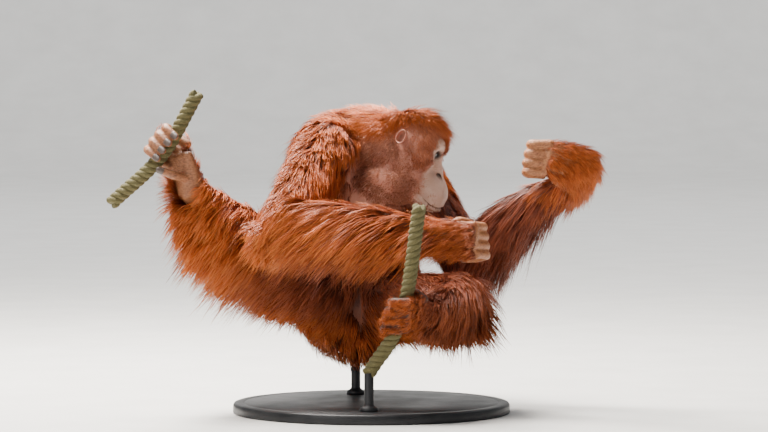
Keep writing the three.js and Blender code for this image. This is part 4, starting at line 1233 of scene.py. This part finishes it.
# The room: a plain pale floor that sweeps up into a backdrop far behind, both painted plaster.
# Soft square lights hang above, behind and to the left, and one washes the backdrop.
sweep_radius = 3000.0
sweep_start = 10000.0
floor_front = -11000.0
floor_half_width = 12000.0
backdrop_height = 8000.0
sweep = np.radians(np.linspace(0, 90, 24))
wall_away = sweep_start + sweep_radius
floor_away = np.concatenate([[floor_front], sweep_start + sweep_radius * np.sin(sweep), [wall_away]])
floor_height = np.concatenate([[0], sweep_radius * (1 - np.cos(sweep)), [backdrop_height]])
floor_line = np.stack([0 * floor_away, floor_away, floor_height], 1)
floor_points = np.vstack([floor_line + (across, 0, 0) for across in (-floor_half_width, floor_half_width)])
count = len(floor_line)
row = np.arange(count - 1)
floor_mesh = mesh_of("floor", floor_points, np.stack([row, row + count, row + count + 1, row + 1], 1))
floor = bpy.data.objects.new("floor", floor_mesh)
bpy.context.scene.collection.objects.link(floor)
plaster = Finish("pale_floor")
plaster.set(
    Base_Color=plaster.ramp(plaster.noise(6, 4), (0.3, (0.6, 0.59, 0.57)), (0.7, (0.66, 0.65, 0.63))),
    Roughness=0.8)
floor.data.materials.append(plaster.material)


def soft_light(name, place, aim, size, power, tint):
    """Square soft light at a place in metres, turned to its aim."""
    lamp = bpy.data.lights.new(name, "AREA")
    lamp.size = size
    lamp.energy = power
    lamp.color = tint
    made = bpy.data.objects.new(name, lamp)
    bpy.context.scene.collection.objects.link(made)
    way = np.array(aim, float) - np.array(place, float)
    tilt = math.acos(-way[2] / np.linalg.norm(way))
    made.location = place
    made.rotation_euler = (tilt, 0, math.atan2(-way[0], way[1]))


aim = to_room(np.array([0, -100, 380.0]))
soft_light("soft_above", (-0.9, 0.1, 2.9), aim, 1.0, 300, (1.0, 0.95, 0.88))
soft_light("rim_behind", (-0.7, 1.1, 2.3), aim, 1.0, 230, (1.0, 0.95, 0.88))
soft_light("fill_left", (-1.9, -2.3, 1.6), aim, 1.6, 30, (1.0, 0.97, 0.93))
soft_light("backdrop_wash", (0, 5.5, 7.0), (0, 10.5, 0.5), 9.0, 1100, (1.0, 1.0, 1.0))
world = bpy.data.worlds.new("pale_room")
bpy.context.scene.world = world
world.use_nodes = True
all_round = world.node_tree.nodes["Background"].inputs
all_round["Color"].default_value = (0.82, 0.85, 0.88, 1)
all_round["Strength"].default_value = 0.32

# The camera stands 9 m off and looks down by 3 degrees, as in the photograph.
# Its lens shows 1.95 mm of the animal to a pixel of a picture 768 pixels wide.
camera_distance = 9000
camera_drop = math.radians(3)
picture_width = 768 * 1.95
film_width = 36
camera = bpy.data.objects.new("camera", bpy.data.cameras.new("camera"))
bpy.context.scene.collection.objects.link(camera)
back_off = np.array([0, -math.cos(camera_drop), math.sin(camera_drop)])
camera.location = to_room(np.array([0, 0, 366.0])) + camera_distance / 1000 * back_off
camera.rotation_euler = (math.pi / 2 - camera_drop, 0, 0)
camera.data.sensor_width = film_width
camera.data.lens = film_width * camera_distance / picture_width
bpy.context.scene.camera = camera
